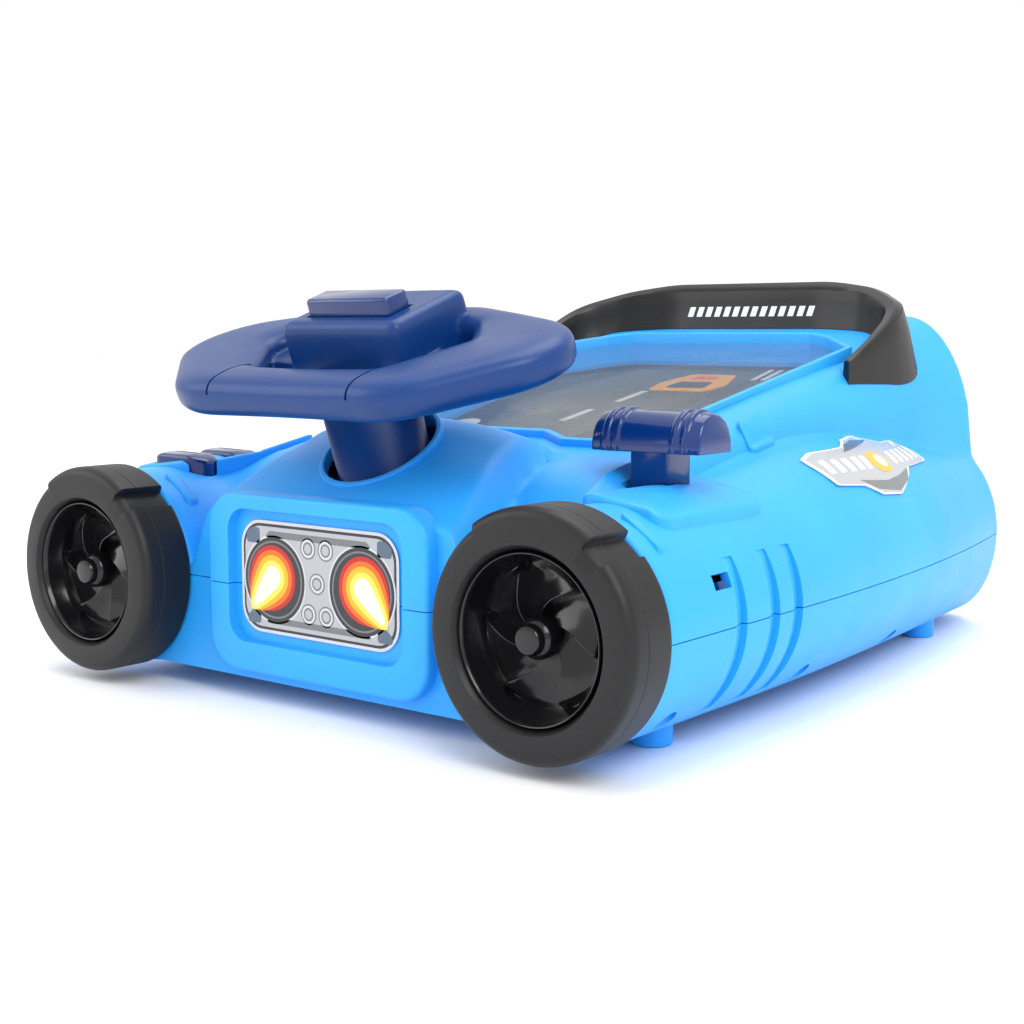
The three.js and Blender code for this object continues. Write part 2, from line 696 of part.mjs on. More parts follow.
const membraneZ = Math.min(...buttonYs.map(buttonFlangeZ)) - buttonTravel - 1.6;
const membraneLength = buttonYs[1] - buttonYs[0] + buttonWidth + 2;
const buttonMiddleY = (buttonYs[0] + buttonYs[1]) / 2;
const buttonMembrane = roundedBlock(buttonLength - 2, membraneLength, 1.2, 2)
  .translate([buttonX, buttonMiddleY, membraneZ]);
const boardThickness = 1.6;
const buttonBoardZ = membraneZ - gap - boardThickness;
const buttonBoard = roundedBlock(buttonLength + 4, membraneLength + 4, boardThickness, 1)
  .translate([buttonX, buttonMiddleY, buttonBoardZ]);
const boardPosts = buttonYs.map((y) => peg(buttonX, y, 3, 1 - podRadius, buttonBoardZ - gap));

// ---------------------------------------------------------------- lower shell

const cellRadius = 7.1;
const cellLength = 50;
const cellCount = 3;
const bayY = 150;
const bayWidth = cellCount * (2 * cellRadius + 0.8) + 1.2;
const bayLength = cellLength + 6;
const bayTopZ = -6;
const doorThickness = 2;
const doorLip = 2.5;
const speakerY = 75;
const speakerRadius = 18;
const grilleHoleRadius = 1.6;
const footSpots = [[80, 44], [74, 205]];
const footRadius = 5;

const bayOuter = box(
  -bayWidth / 2 - wall, bayWidth / 2 + wall, bayY - bayLength / 2 - wall, bayY + bayLength / 2 + wall,
  bellyZ + 1, bayTopZ + wall);
const bayInner = box(
  -bayWidth / 2, bayWidth / 2, bayY - bayLength / 2, bayY + bayLength / 2, bellyZ - 5, bayTopZ);
const doorSeat = box(
  -bayWidth / 2 - doorLip, bayWidth / 2 + doorLip, bayY - bayLength / 2 - doorLip,
  bayY + bayLength / 2 + doorLip + 4, bellyZ - 5, bellyZ + doorThickness + 0.2);
const doorLedge = box(
  -bayWidth / 2 - doorLip - wall, bayWidth / 2 + doorLip + wall, bayY - bayLength / 2 - doorLip - wall,
  bayY + bayLength / 2 + doorLip + wall + 4, bellyZ + 1, bellyZ + doorThickness + wall);

let lowerShell = join(lowerForm, frameBlock.intersect(below));
lowerShell = cut(lowerShell, lowerHollow, framePocket);
for (const [x, y] of [...footSpots, ...footSpots.map(([fx, fy]) => [-fx, fy])]) {
  lowerShell = join(lowerShell, peg(x, y, footRadius, -podRadius - footHeight, -podRadius + 2.2, 20));
}
for (const [x, y] of screwPlaces) {
  lowerShell = join(lowerShell, peg(x, y, bossRadius, -podRadius, -joint).intersect(lowerForm));
  lowerShell = cut(lowerShell, peg(x, y, screwHeadRadius + gap, -40, screwFloorZ));
  lowerShell = cut(lowerShell, peg(x, y, screwShankRadius + gap, -12, 1));
}
lowerShell = join(lowerShell, doorLedge, bayOuter);
lowerShell = cut(lowerShell, bayInner, doorSeat);
for (let ring = 0; ring < 3; ring += 1) {
  const holes = ring === 0 ? 1 : 6 * ring;
  for (let i = 0; i < holes; i += 1) {
    const a = (2 * Math.PI * i) / holes;
    const r = ring * 5.5;
    lowerShell = cut(lowerShell, peg(
      r * Math.cos(a), speakerY + r * Math.sin(a), grilleHoleRadius, bellyZ - 3, bellyZ + 5, 6));
  }
}
lowerShell = cut(join(lowerShell, ...boardPosts), gills, mirrored(gills));

// battery door and its screw
const doorPlay = 0.35;
const doorY0 = bayY - bayLength / 2 - doorLip + doorPlay;
const doorY1 = bayY + bayLength / 2 + doorLip + 4 - doorPlay;
const doorHalf = bayWidth / 2 + doorLip - doorPlay;
const doorScrewY = doorY1 - 3.2;
const batteryDoor = cut(
  box(-doorHalf, doorHalf, doorY0, doorY1, bellyZ, bellyZ + doorThickness - gap),
  peg(0, doorScrewY, 1.7, bellyZ - 3, bellyZ + 4),
);
lowerShell = cut(lowerShell, peg(0, doorScrewY, 1.5, bellyZ, bellyZ + 12));
const doorScrew = join(
  peg(0, doorScrewY, 1.2, bellyZ - 1, bellyZ + 3.4),
  peg(0, doorScrewY, 2.4, bellyZ - 1.6, bellyZ - gap),
);

const caseScrew = (x, y) => join(
  peg(x, y, screwShankRadius, screwFloorZ - 1, screwTop),
  peg(x, y, screwHeadRadius, screwFloorZ - 2.2, screwFloorZ - gap),
);

// ---------------------------------------------------------------- wheels

const notchFrom = 35;            // degrees from the top, clockwise for the player
const notchTo = 48;
const notchDepth = 1.1;
const topFrom = 33;              // the raised top starts this far the other way

function tyre() {
  const ring = lathe([
    [dishRadius, 0], [dishRadius + 1.3, 0], [tyreRadius - 3.4, 0.5], [tyreRadius - 1.4, 1.7], [tyreRadius - 0.3, 3.6],
    [tyreRadius, 6], [tyreRadius, tyreWidth - 1], [tyreRadius - 1, tyreWidth], [dishRadius - 1, tyreWidth],
    [dishRadius - 1, 2], [dishRadius, 0],
  ], 32);
  const sector = (from, to, depth, y0, steps) => loft(Array.from({ length: steps + 1 }, (_, i) => {
    const a = radians(lerp(from, to, i / steps));
    const at = (r, y) => new THREE.Vector3(r * Math.sin(a), y, r * Math.cos(a));
    return [
      at(tyreRadius - depth, y0), at(tyreRadius + 2, y0),
      at(tyreRadius + 2, tyreWidth + 1), at(tyreRadius - depth, tyreWidth + 1),
    ];
  }));
  const notch = sector(notchFrom, notchTo, treadStep + notchDepth, 2, 2);
  const lowTread = sector(notchTo - 1, 360 - topFrom, treadStep, -1, 26);
  return cut(ring, notch, lowTread);
}

const capPlay = 0.3;
const bladeSwirl = 38;           // degrees a blade curves between hub and ring
const bladeSteps = 5;
const bladeRise = 3.4;
const bladeEndRadius = hubRingRadius + 2.3;   // inside the wall of the dish

// turbine blade: a ramp that rises round the hub and curves as it goes out
function blade(number) {
  const rings = [];
  for (let i = 0; i <= bladeSteps; i += 1) {
    const t = i / bladeSteps;
    const r = lerp(hubRadius - 0.8, bladeEndRadius, t);
    const start = radians((360 / bladeCount) * number + bladeSwirl * Math.sin((t * Math.PI) / 2));
    const sweep = radians((360 / bladeCount) * 0.9);
    const rise = bladeRise * (0.55 + 0.45 * Math.sin(Math.PI * Math.min(t * 1.1, 1)));
    const at = (a, y) => new THREE.Vector3(r * Math.sin(start + a), y, r * Math.cos(start + a));
    rings.push([
      at(0, dishDepth + 0.6), at(sweep * 0.55, dishDepth + 0.6), at(sweep, dishDepth + 0.6),
      at(sweep, dishDepth - rise), at(sweep * 0.55, dishDepth - rise * 0.75), at(0, dishDepth - 0.2),
    ]);
  }
  return loft(rings);
}

function hubcap() {
  const outer = dishRadius - 1 - capPlay;
  let cap = lathe([
    [0, dishDepth + 2], [0, dishDepth], [hubRingRadius - 0.6, dishDepth], [hubRingRadius, dishDepth - 2.6],
    [hubRingRadius + 0.7, dishDepth - 3], [outer - 1.2, 1.4], [outer - 0.3, 1], [outer, 1.4],
    [outer, dishDepth + 2], [0, dishDepth + 2],
  ], 32);
  cap = join(cap, lathe([
    [0, 0.85], [hubRadius - 1.9, 0.85], [hubRadius - 1.3, 1.2], [hubRadius - 1.2, 3], [hubRadius, 4.2],
    [hubRadius, dishDepth + 1], [0, dishDepth + 1], [0, 0.85],
  ], 20));
  for (let i = 0; i < bladeCount; i += 1) cap = join(cap, blade(i));
  return cap;
}

// ---------------------------------------------------------------- gear lever

const knobTaper = 2.2;
const knobBands = [-9.5, 9.5];
function gearLever() {
  const half = knobWidth / 2;
  const ring = (x, scale) => {
    const points = [];
    for (let i = 0; i <= 12; i += 1) {
      const a = (Math.PI * i) / 12;
      points.push(new THREE.Vector3(
        x, (-Math.cos(a) * knobDepth * scale) / 2, Math.sin(a) ** 0.8 * knobHeight * scale));
    }
    return points;
  };
  let knob = loft([ring(-half, 0.8), ring(-half + knobTaper, 0.93), ring(half - knobTaper, 0.93), ring(half, 0.8)]);
  for (const x of knobBands) knob = join(knob, loft([ring(x - 1.6, 0.97), ring(x - 1.2, 1), ring(x + 1.2, 1), ring(x + 1.6, 0.97)]));
  knob = knob.translate([leverX, leverY, knobBottomZ]);
  const stem = roundedBlock(stemWidth, stemWidth, knobBottomZ - leverPivotZ - 3, 1.2)
    .translate([leverX, leverY, leverPivotZ + 4]);
  const barrel = cylinder(5, stemWidth, 24).rotate([0, 90, 0]).translate([leverX, leverY, leverPivotZ]);
  const bore = cylinder(1.75, 40, 24).rotate([0, 90, 0]).translate([leverX, leverY, leverPivotZ]);
  return cut(join(knob, stem, barrel), bore);
}
const leverPinLength = stemWidth + 9;
const leverPin = cylinder(1.7, leverPinLength, 24).rotate([0, 90, 0]).translate([leverX, leverY, leverPivotZ]);
// two ears that hold the pin, on a pillar that stands on the lower shell's floor
const pillarTop = leverPivotZ - 5.4;
const pinEar = (side) => {
  const x0 = leverX + side * (stemWidth / 2 + runningGap);
  const x1 = x0 + side * 3;
  return box(Math.min(x0, x1), Math.max(x0, x1), leverY - 5, leverY + 5, pillarTop - 1, leverPivotZ + 5);
};
const leverBracket = cut(
  join(
    pinEar(-1), pinEar(1),
    box(leverX - stemWidth / 2 - 3.5, leverX + stemWidth / 2 + 3.5, leverY - 5, leverY + 5, bellyZ + wall + gap, pillarTop),
  ),
  cylinder(1.7 + gap, 60, 24).rotate([0, 90, 0]).translate([leverX, leverY, leverPivotZ]),
);

// ---------------------------------------------------------------- window and screen

const screenInset = rimInset(rimWall + 1.2 + gap);
const lens = slopingSlab(rimInset(rimWall + gap), -lensRecess - lensThickness, -lensRecess);
const lcdGlass = slopingSlab(screenInset, -screenDepth - 1.1, -screenDepth);
const sceneryCard = slopingSlab(screenInset, -screenDepth - 1.8, -screenDepth - 1.1 - gap);
const trayTop = -skirtDepth - gap;
const cardBottom = -screenDepth - 1.8;
const mainBoardTop = trayTop - 4.4;
const trayLegSpots = [[40, 96], [44, 176]];
const trayLeg = (x, y) => slopingSlab(
  rectangle(6, 6).map(([dx, dy]) => [x + dx, y + dy]), mainBoardTop + gap, trayTop - 1);
const lcdTray = join(
  slopingSlab(rimInset(rimWall - 1), trayTop - 2, trayTop),
  slopingSlab(screenInset, trayTop - 1, cardBottom - gap),
  ...trayLegSpots.flatMap(([x, y]) => [trayLeg(x, y), trayLeg(-x, y)]),
);
const mainBoard = slopingSlab(rimInset(8), mainBoardTop - boardThickness, mainBoardTop);

// ---------------------------------------------------------------- visor

// rails along the right half, from the arm's tip round to the middle of the back; the two
// base rails have no height, because the wall is trimmed to the deck
const visorRails = [
  [[65, 171], [67, 186], [69, 202], [70, 219], [58, 233], [38, 238], [0, 239]],
  [[64.6, 172, 55.8], [66, 187, 61], [66.5, 202, 68], [64.5, 212, 72.6], [50, 226, 78.2], [33.5, 231.5, 80.6],
    [0, 231.5, 80.6]],
  [[64, 172.5, 56.4], [64.8, 188, 63.4], [64.4, 201.5, 70.4], [61.5, 210.5, 74.6], [48, 221.8, 79.6],
    [31.4, 226.2, 82], [0, 226.2, 82]],
  [[62.6, 173, 56.4], [62.4, 188, 62.8], [61.6, 200.5, 69], [58.6, 208.4, 73], [46, 218.6, 77.6],
    [29.5, 222.4, 79.6], [0, 222.4, 79.6]],
  [[62.2, 173.2, 55.8], [62, 188.4, 60.4], [61.4, 200.6, 65.4], [58.8, 208.6, 69.2], [46.6, 218.6, 73.4],
    [30.5, 222.2, 75.3], [0, 222.2, 75.3]],
  [[61.4, 173.4], [60.6, 188.4], [59, 198], [55.4, 204], [45, 212], [29.3, 216.6], [0, 216.6]],
];
const visorGap = 0.4;
const visorFootZ = 20;

function visor() {
  const right = visorRails[0].map((_, station) => visorRails.map((rail) => {
    const [x, y, z = visorFootZ] = rail[station];
    return new THREE.Vector3(x, y, z);
  }));
  const left = right.slice(0, -1).map((ring) => ring.map((p) => new THREE.Vector3(-p.x, p.y, p.z)));
  return loft([...right, ...left.reverse()]);
}

// deck surface raised a little, used to trim what stands on the deck
const deckRows = bodyRows.filter((y) => y > 150);
const deckTrim = fieldSolid(deckRows, acrossFine, (x, y) => topHeight(x, y) + visorGap, 5);
const visorSolid = cut(visor(), deckTrim, slopingSlab(rimInset(-visorGap), -60, 40));

// ---------------------------------------------------------------- labels

const labelThickness = 0.5;
const panelLabel = facingPrism([
  [-27.6, -11.8], [27.6, -11.8], [27.6, 17.2], [-27.6, 17.2],
], 7, panelFloorY - gap - labelThickness, panelFloorY - gap);

// thin plate on the shoulder of the pod; its outline is seen square on, along labelOut
const labelOut = new THREE.Vector3(0.8, 0, 0.6);
const labelUp = new THREE.Vector3(-0.6, 0, 0.8);
const sideLabelOutline = [
  [110, -26], [112, -22], [119, -21], [136, -21.5], [148, -18], [162, -17.5], [173, -22], [184, -23],
  [189, -31], [160, -31.5], [151, -36], [136, -40.5], [120, -41], [112, -35],
];
function sideLabel(side) {
  const lifted = (distance) => upperForm.translate(
    [side * labelOut.x * distance, labelOut.y * distance, labelOut.z * distance]);
  const geometry = extrude(roundedShape(sideLabelOutline, 3), 60);
  geometry.applyMatrix4(new THREE.Matrix4().makeBasis(new THREE.Vector3(0, 1, 0), labelUp, labelOut));
  geometry.translate(60 * labelOut.x, 0, 60 * labelOut.z);
  const prism = side > 0 ? toSolid(geometry) : mirrored(toSolid(geometry));
  return cut(lifted(gap + labelThickness).intersect(prism), lifted(gap));
}

// ---------------------------------------------------------------- other inner pieces

const speaker = join(
  peg(0, speakerY, speakerRadius, bellyZ + wall + gap + 0.5, bellyZ + wall + 3.5, 32),
  peg(0, speakerY, speakerRadius * 0.55, bellyZ + wall + 3, bellyZ + wall + 8, 24),
);
const cellX = (i) => (i - (cellCount - 1) / 2) * (2 * cellRadius + 0.8);
const cellZ = bellyZ + doorThickness + 0.6 + cellRadius;
const cell = (i) => cylinder(cellRadius, cellLength - 1.4, 20).rotate([90, 0, 0])
  .translate([cellX(i), bayY - 0.5, cellZ]);
const contactPlate = (side) => box(
  -bayWidth / 2 + 1, bayWidth / 2 - 1,
  bayY + side * (bayLength / 2 - 1) - 0.25, bayY + side * (bayLength / 2 - 1) + 0.25,
  cellZ - 6, cellZ + 6);

const knobInset = 0.4;
const switchKnob = inSwitchFrame(join(
  roundedBlock(switchKnobHeight, switchSlotWidth - 0.9, 5, 0.4).translate([1.6, 0, podRadius - knobInset - 5]),
  roundedBlock(switchKnobHeight + 2, 6, 1.2, 0.4).translate([1.6, 0, podRadius - knobInset - 6.1]),
));
const switchBody = inSwitchFrame(cut(
  roundedBlock(16, 9, 6, 0.6).translate([0, 0, podRadius - 12.6]),
  box(-7, 7, -3.6, 3.6, podRadius - 8, podRadius + 5),
));

// ---------------------------------------------------------------- assembly

const plastic = (color, roughness = 0.42) => new THREE.MeshStandardMaterial({ color, roughness, metalness: 0 });
const skyBlue = 0x2ba3f2;
const navy = 0x173f9c;
const charcoal = 0x2c2c30;
const black = 0x121214;
const steel = () => new THREE.MeshStandardMaterial({ color: 0xb9bcc2, roughness: 0.3, metalness: 1 });
const clear = () => new THREE.MeshStandardMaterial({
  color: 0xdfe8ec, roughness: 0.05, metalness: 0, transparent: true, opacity: 0.35,
});

const game = new THREE.Group();
function addPiece(name, solid, material) {
  const mesh = new THREE.Mesh(toGeometry(solid), material);
  mesh.name = name;
  game.add(mesh);
}

addPiece('lower_shell', lowerShell, plastic(skyBlue));
addPiece('upper_shell', upperShell, plastic(skyBlue));
addPiece('window', lens, clear());
addPiece('lcd_glass', lcdGlass, clear());
addPiece('scenery_card', sceneryCard, plastic(0x8d949c, 0.7));
addPiece('lcd_tray', lcdTray, plastic(0xe9e9e6, 0.6));
addPiece('main_board', mainBoard, plastic(0x2f6b3a, 0.6));
addPiece('visor', visorSolid, plastic(charcoal, 0.4));
addPiece('panel_label', panelLabel, plastic(0x9a9ca0, 0.5));
addPiece('side_label_right', sideLabel(1), plastic(0xc4c6c8, 0.4));
addPiece('side_label_left', sideLabel(-1), plastic(0xc4c6c8, 0.4));

for (const [side, name] of [[1, 'right'], [-1, 'left']]) {
  addPiece(`tyre_${name}`, tyre().translate([side * podX, 0, 0]), plastic(charcoal, 0.6));
  addPiece(`hubcap_${name}`, hubcap().translate([side * podX, 0, 0]), plastic(black, 0.2));
}

addPiece('steering_wheel', inSteeringFrame(steeringWheel()), plastic(navy, 0.45));
addPiece('horn_button', inSteeringFrame(hornButton()), plastic(navy, 0.2));
addPiece('steering_column', inSteeringFrame(steeringColumn()), plastic(navy, 0.4));
addPiece('bearing_plate', inSteeringFrame(bearingPlate), plastic(0xd8d8d4, 0.6));
for (const side of [1, -1]) addPiece(`plate_screw_${side > 0 ? 'right' : 'left'}`, plateScrew(side), steel());
addPiece('column_retainer', inSteeringFrame(retainer), steel());
addPiece('column_screw', inSteeringFrame(columnScrew), steel());

addPiece('gear_lever', gearLever(), plastic(navy, 0.2));
addPiece('gear_lever_pin', leverPin, steel());
addPiece('gear_lever_bracket', leverBracket, plastic(0xd8d8d4, 0.6));
addPiece('front_button', pushButton(buttonYs[0]), plastic(navy, 0.2));
addPiece('rear_button', pushButton(buttonYs[1]), plastic(navy, 0.2));
addPiece('button_membrane', buttonMembrane, plastic(0x4a4a4e, 0.8));
addPiece('button_board', buttonBoard, plastic(0x2f6b3a, 0.6));
addPiece('power_switch_knob', switchKnob, plastic(navy, 0.3));
addPiece('power_switch_body', switchBody, plastic(black, 0.5));

addPiece('speaker', speaker, plastic(black, 0.5));
addPiece('battery_door', batteryDoor, plastic(skyBlue));
addPiece('battery_door_screw', doorScrew, steel());
for (let i = 0; i < cellCount; i += 1) addPiece(`cell_${i + 1}`, cell(i), plastic(0x3a3f3a, 0.4));
addPiece('contact_front', contactPlate(-1), steel());
addPiece('contact_rear', contactPlate(1), steel());
screwPlaces.forEach(([x, y], i) => addPiece(`case_screw_${i + 1}`, caseScrew(x, y), steel()));

// stand the group on z = 0, centred in plan
const extent = new THREE.Box3().setFromObject(game);
const centre = extent.getCenter(new THREE.Vector3());
game.position.set(-centre.x, -centre.y, -extent.min.z);

export default game;
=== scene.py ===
# %% [markdown]
# # A table-top racing game
#
# The toy is a sky-blue two-shell housing shaped like a car seen from behind, with a navy steering
# wheel, a gear lever, two push buttons and a picture screen under a clear window. The moving frame
# comes ready made; this notebook gives it its finished surfaces, piece by piece.

# %% Load the frame
import json
import math

import bpy
import numpy as np
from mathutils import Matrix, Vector

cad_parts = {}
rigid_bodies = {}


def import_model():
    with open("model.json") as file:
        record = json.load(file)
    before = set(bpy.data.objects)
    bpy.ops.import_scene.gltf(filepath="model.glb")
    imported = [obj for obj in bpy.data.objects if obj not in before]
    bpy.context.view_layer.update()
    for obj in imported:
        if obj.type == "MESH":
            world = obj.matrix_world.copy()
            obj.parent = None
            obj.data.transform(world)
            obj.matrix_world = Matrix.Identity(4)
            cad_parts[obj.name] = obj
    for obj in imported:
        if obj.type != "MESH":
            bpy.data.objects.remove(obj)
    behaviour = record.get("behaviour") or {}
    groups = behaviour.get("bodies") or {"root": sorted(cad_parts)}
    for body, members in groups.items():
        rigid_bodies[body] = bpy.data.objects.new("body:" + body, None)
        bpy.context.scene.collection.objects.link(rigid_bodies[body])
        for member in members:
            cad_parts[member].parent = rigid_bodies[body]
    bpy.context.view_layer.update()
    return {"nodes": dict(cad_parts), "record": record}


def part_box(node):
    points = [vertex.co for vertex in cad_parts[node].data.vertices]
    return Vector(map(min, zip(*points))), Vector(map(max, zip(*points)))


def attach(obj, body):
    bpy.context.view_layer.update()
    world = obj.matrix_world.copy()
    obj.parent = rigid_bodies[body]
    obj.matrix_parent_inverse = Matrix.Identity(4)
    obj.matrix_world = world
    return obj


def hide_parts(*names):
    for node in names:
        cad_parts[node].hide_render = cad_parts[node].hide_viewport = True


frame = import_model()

NODES = frame["nodes"]

# %% [markdown]
# ## A set of axes for the work
#
# The design is easiest to read in millimetres from two natural places: the front face of the tyres
# and the line on which the two shells meet, which is also the height of the wheel axes. Both are
# taken from the boxes of the ready-made pieces.

# %% Millimetres from the tyre face and the joint line
MM = 0.001
JOINT = 0.12                     # half of the fine line between the shells
tyre_low, tyre_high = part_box("tyre_right")
POD_X = (tyre_low.x + tyre_high.x) / 2 / MM
ORIGIN = np.array([0.0, tyre_low.y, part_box("upper_shell")[0].z - JOINT * MM])


def to_world(points):
    """Points in millimetres of the design, as metres of the frame."""
    return np.asarray(points, float) * MM + ORIGIN


def box_mm(node):
    """Corners of a ready-made piece, in millimetres of the design."""
    return [(np.array(corner) - ORIGIN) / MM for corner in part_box(node)]


print("pod axes at x = +-%.1f mm" % POD_X)

# %% [markdown]
# ## Camera, floor and light
#
# The camera stands low on the player's right. A pale floor that runs far back and three large soft
# lights give the broad, gentle highlights of a product picture.

# %% Camera
camera_data = bpy.data.cameras.new("camera")
camera_data.lens = 54.53
camera_data.clip_start = 0.01
camera = bpy.data.objects.new("camera", camera_data)
bpy.context.scene.collection.objects.link(camera)
bpy.context.scene.camera = camera
camera.location = (0.27508, -0.37800, 0.09545)
view_turn = math.radians(38.564)
view_drop = math.radians(6.621)
view = Vector((-math.sin(view_turn) * math.cos(view_drop), math.cos(view_turn) * math.cos(view_drop),
               -math.sin(view_drop)))
camera.rotation_euler = view.to_track_quat("-Z", "Y").to_euler()
print("camera at", tuple(round(v, 3) for v in camera.location))

# %% Floor, sky and lights
bpy.ops.mesh.primitive_plane_add(size=12, location=(0, 0, 0))
floor = bpy.context.object
floor.name = "floor"

world = bpy.data.worlds.new("studio")
bpy.context.scene.world = world
world.use_nodes = True
sky = world.node_tree.nodes["Background"]
sky.inputs["Color"].default_value = (1.0, 1.0, 1.0, 1)
sky.inputs["Strength"].default_value = 1.05
bpy.context.scene.view_settings.view_transform = "Standard"


def soft_light(name, place, target, size, watts):
    """A square area light at a place, turned to a target."""
    data = bpy.data.lights.new(name, "AREA")
    data.shape = "SQUARE"
    data.size = size
    data.energy = watts
    light = bpy.data.objects.new(name, data)
    light.location = place
    light.rotation_euler = (Vector(target) - Vector(place)).to_track_quat("-Z", "Y").to_euler()
    bpy.context.scene.collection.objects.link(light)
    return light


centre = (0, 0, 0.06)
soft_light("key", (0.9, -0.55, 0.95), centre, 0.7, 9)
soft_light("fill", (-0.9, -0.8, 0.6), centre, 0.8, 4)
soft_light("top", (0.0, 0.3, 1.3), centre, 1.0, 8)

# %% [markdown]
# ## Plastics
#
# Nearly everything is injection-moulded plastic. What tells one plastic from another is how shiny
# it is, how its skin is textured and how evenly it is coloured. One recipe makes them all: a noise
# shades the colour a little, a second one varies the gloss, and a fine one gives the skin its grain.

# %% A plastic recipe
def add_node(tree, kind, **values):
    """A shader node with its inputs set by name."""
    node = tree.nodes.new(kind)
    for key, value in values.items():
        if key in node.inputs:
            node.inputs[key].default_value = value
        else:
            setattr(node, key, value)
    return node


def new_material(name):
    """An empty node material with its shader and object coordinates."""
    material = bpy.data.materials.new(name)
    material.use_nodes = True
    tree = material.node_tree
    shader = tree.nodes["Principled BSDF"]
    coordinates = tree.nodes.new("ShaderNodeTexCoord")
    return material, tree, shader, coordinates.outputs["Object"]


def noise_between(tree, where, scale, low, high, detail=3.0):
    """A noise value that runs from low to high."""
    noise = add_node(tree, "ShaderNodeTexNoise", Scale=scale, Detail=detail)
    tree.links.new(where, noise.inputs["Vector"])
    span = add_node(tree, "ShaderNodeMapRange")
    span.inputs["From Min"].default_value = 0.3
    span.inputs["From Max"].default_value = 0.7
    span.inputs["To Min"].default_value = low
    span.inputs["To Max"].default_value = high
    tree.links.new(noise.outputs["Fac"], span.inputs["Value"])
    return span.outputs["Result"]


def plastic(name, colour, roughness, grain_size=0.0005, grain_height=0.00002, tint=0.06, coat=0.0):
    """Moulded plastic: colour, gloss and the grain of its skin, in metres."""
    material, tree, shader, where = new_material(name)
    shade = add_node(tree, "ShaderNodeMix", data_type="RGBA")
    shade.inputs["A"].default_value = (*[c * (1 - tint) for c in colour], 1)
    shade.inputs["B"].default_value = (*[min(c * (1 + tint), 1) for c in colour], 1)
    tree.links.new(noise_between(tree, where, 22, 0, 1), shade.inputs["Factor"])
    tree.links.new(shade.outputs["Result"], shader.inputs["Base Color"])
    gloss = noise_between(tree, where, 60, roughness * 0.9, roughness * 1.1)
    tree.links.new(gloss, shader.inputs["Roughness"])
    grain = add_node(tree, "ShaderNodeTexNoise", Scale=1 / grain_size, Detail=2.0)
    tree.links.new(where, grain.inputs["Vector"])
    bump = add_node(tree, "ShaderNodeBump", Strength=0.6, Distance=grain_height)
    tree.links.new(grain.outputs["Fac"], bump.inputs["Height"])
    tree.links.new(bump.outputs["Normal"], shader.inputs["Normal"])
    shader.inputs["IOR"].default_value = 1.42
    shader.inputs["Coat Weight"].default_value = coat
    shader.inputs["Coat Roughness"].default_value = 0.08
    return material


SKY_BLUE = plastic("sky_blue_abs", (0.022, 0.36, 0.93), 0.42)
NAVY = plastic("navy_satin_abs", (0.001, 0.034, 0.165), 0.36)
NAVY_GLOSS = plastic("navy_gloss_abs", (0.001, 0.024, 0.14), 0.16, grain_height=0.000006, coat=0.4)
CHARCOAL = plastic("charcoal_satin_abs", (0.004, 0.004, 0.005), 0.3)
TYRE_BLACK = plastic("tyre_satin_black", (0.0065, 0.0065, 0.0075), 0.45, grain_height=0.00004)
GLOSS_BLACK = plastic("hub_gloss_black", (0.004, 0.004, 0.005), 0.16, grain_height=0.000004, coat=0.15)
INNER_WHITE = plastic("inner_white", (0.62, 0.62, 0.6), 0.5)
BOARD_GREEN = plastic("board_green", (0.02, 0.12, 0.04), 0.45, tint=0.2)
RUBBER_GREY = plastic("rubber_grey", (0.05, 0.05, 0.055), 0.75)
CELL_SLEEVE = plastic("cell_sleeve", (0.03, 0.035, 0.03), 0.25)
FLOOR_WHITE = plastic("floor_white", (0.95, 0.95, 0.96), 0.6, tint=0.01)
floor.data.materials.append(FLOOR_WHITE)
print("plastics made:", len(bpy.data.materials))

# %% Steel and clear parts
def steel(name):
    """Zinc-plated steel with fine scratches."""
    material, tree, shader, where = new_material(name)
    shader.inputs["Base Color"].default_value = (0.56, 0.57, 0.6, 1)
    shader.inputs["Metallic"].default_value = 1.0
    tree.links.new(noise_between(tree, where, 300, 0.22, 0.4), shader.inputs["Roughness"])
    return material


def clear(name, colour, roughness, alpha, index):
    """Clear moulded plastic or glass that lets most of what is under it through."""
    material, tree, shader, where = new_material(name)
    shader.inputs["Base Color"].default_value = (*colour, 1)
    shader.inputs["Alpha"].default_value = alpha
    shader.inputs["IOR"].default_value = index
    tree.links.new(noise_between(tree, where, 40, roughness * 0.6, roughness * 1.6),
                   shader.inputs["Roughness"])
    return material


STEEL = steel("zinc_steel")
WINDOW_CLEAR = clear("window_clear", (0.3, 0.34, 0.38), 0.03, 0.1, 1.36)
SCREEN_GLASS = clear("screen_glass", (0.1, 0.11, 0.12), 0.05, 0.12, 1.3)

# %% [markdown]
# ## Finishes for the ready-made pieces
#
# Pieces whose shape is already right keep it and only get a finish. They come with a single
# material slot, which is simply filled.

# %% Give every ready-made piece its finish
FINISHES = {
    "body": SKY_BLUE, "navy": NAVY, "charcoal": CHARCOAL, "tyre": TYRE_BLACK, "hubcap": GLOSS_BLACK,
    "window": WINDOW_CLEAR, "screen": SCREEN_GLASS, "card": CHARCOAL, "label": INNER_WHITE,
    "inner_plastic": INNER_WHITE, "board": BOARD_GREEN, "rubber": RUBBER_GREY, "steel": STEEL,
    "cell": CELL_SLEEVE, "speaker": CHARCOAL,
}
SLOT_OF = {part["node"]: part["material_slot"] for part in frame["record"]["subparts"]}
for name, node in NODES.items():
    node.data.materials.clear()
    node.data.materials.append(FINISHES[SLOT_OF[name]])
print("finished", len(NODES), "ready-made pieces")

# %% [markdown]
# ## Skins through rings of points
#
# Most of the finished shapes are skins: a grid is laid down, its rows are set to rings of points
# worked out from the design, and the seam and the ends are closed. Booleans then join pieces and
# open holes, and a shade by angle keeps the true edges crisp.

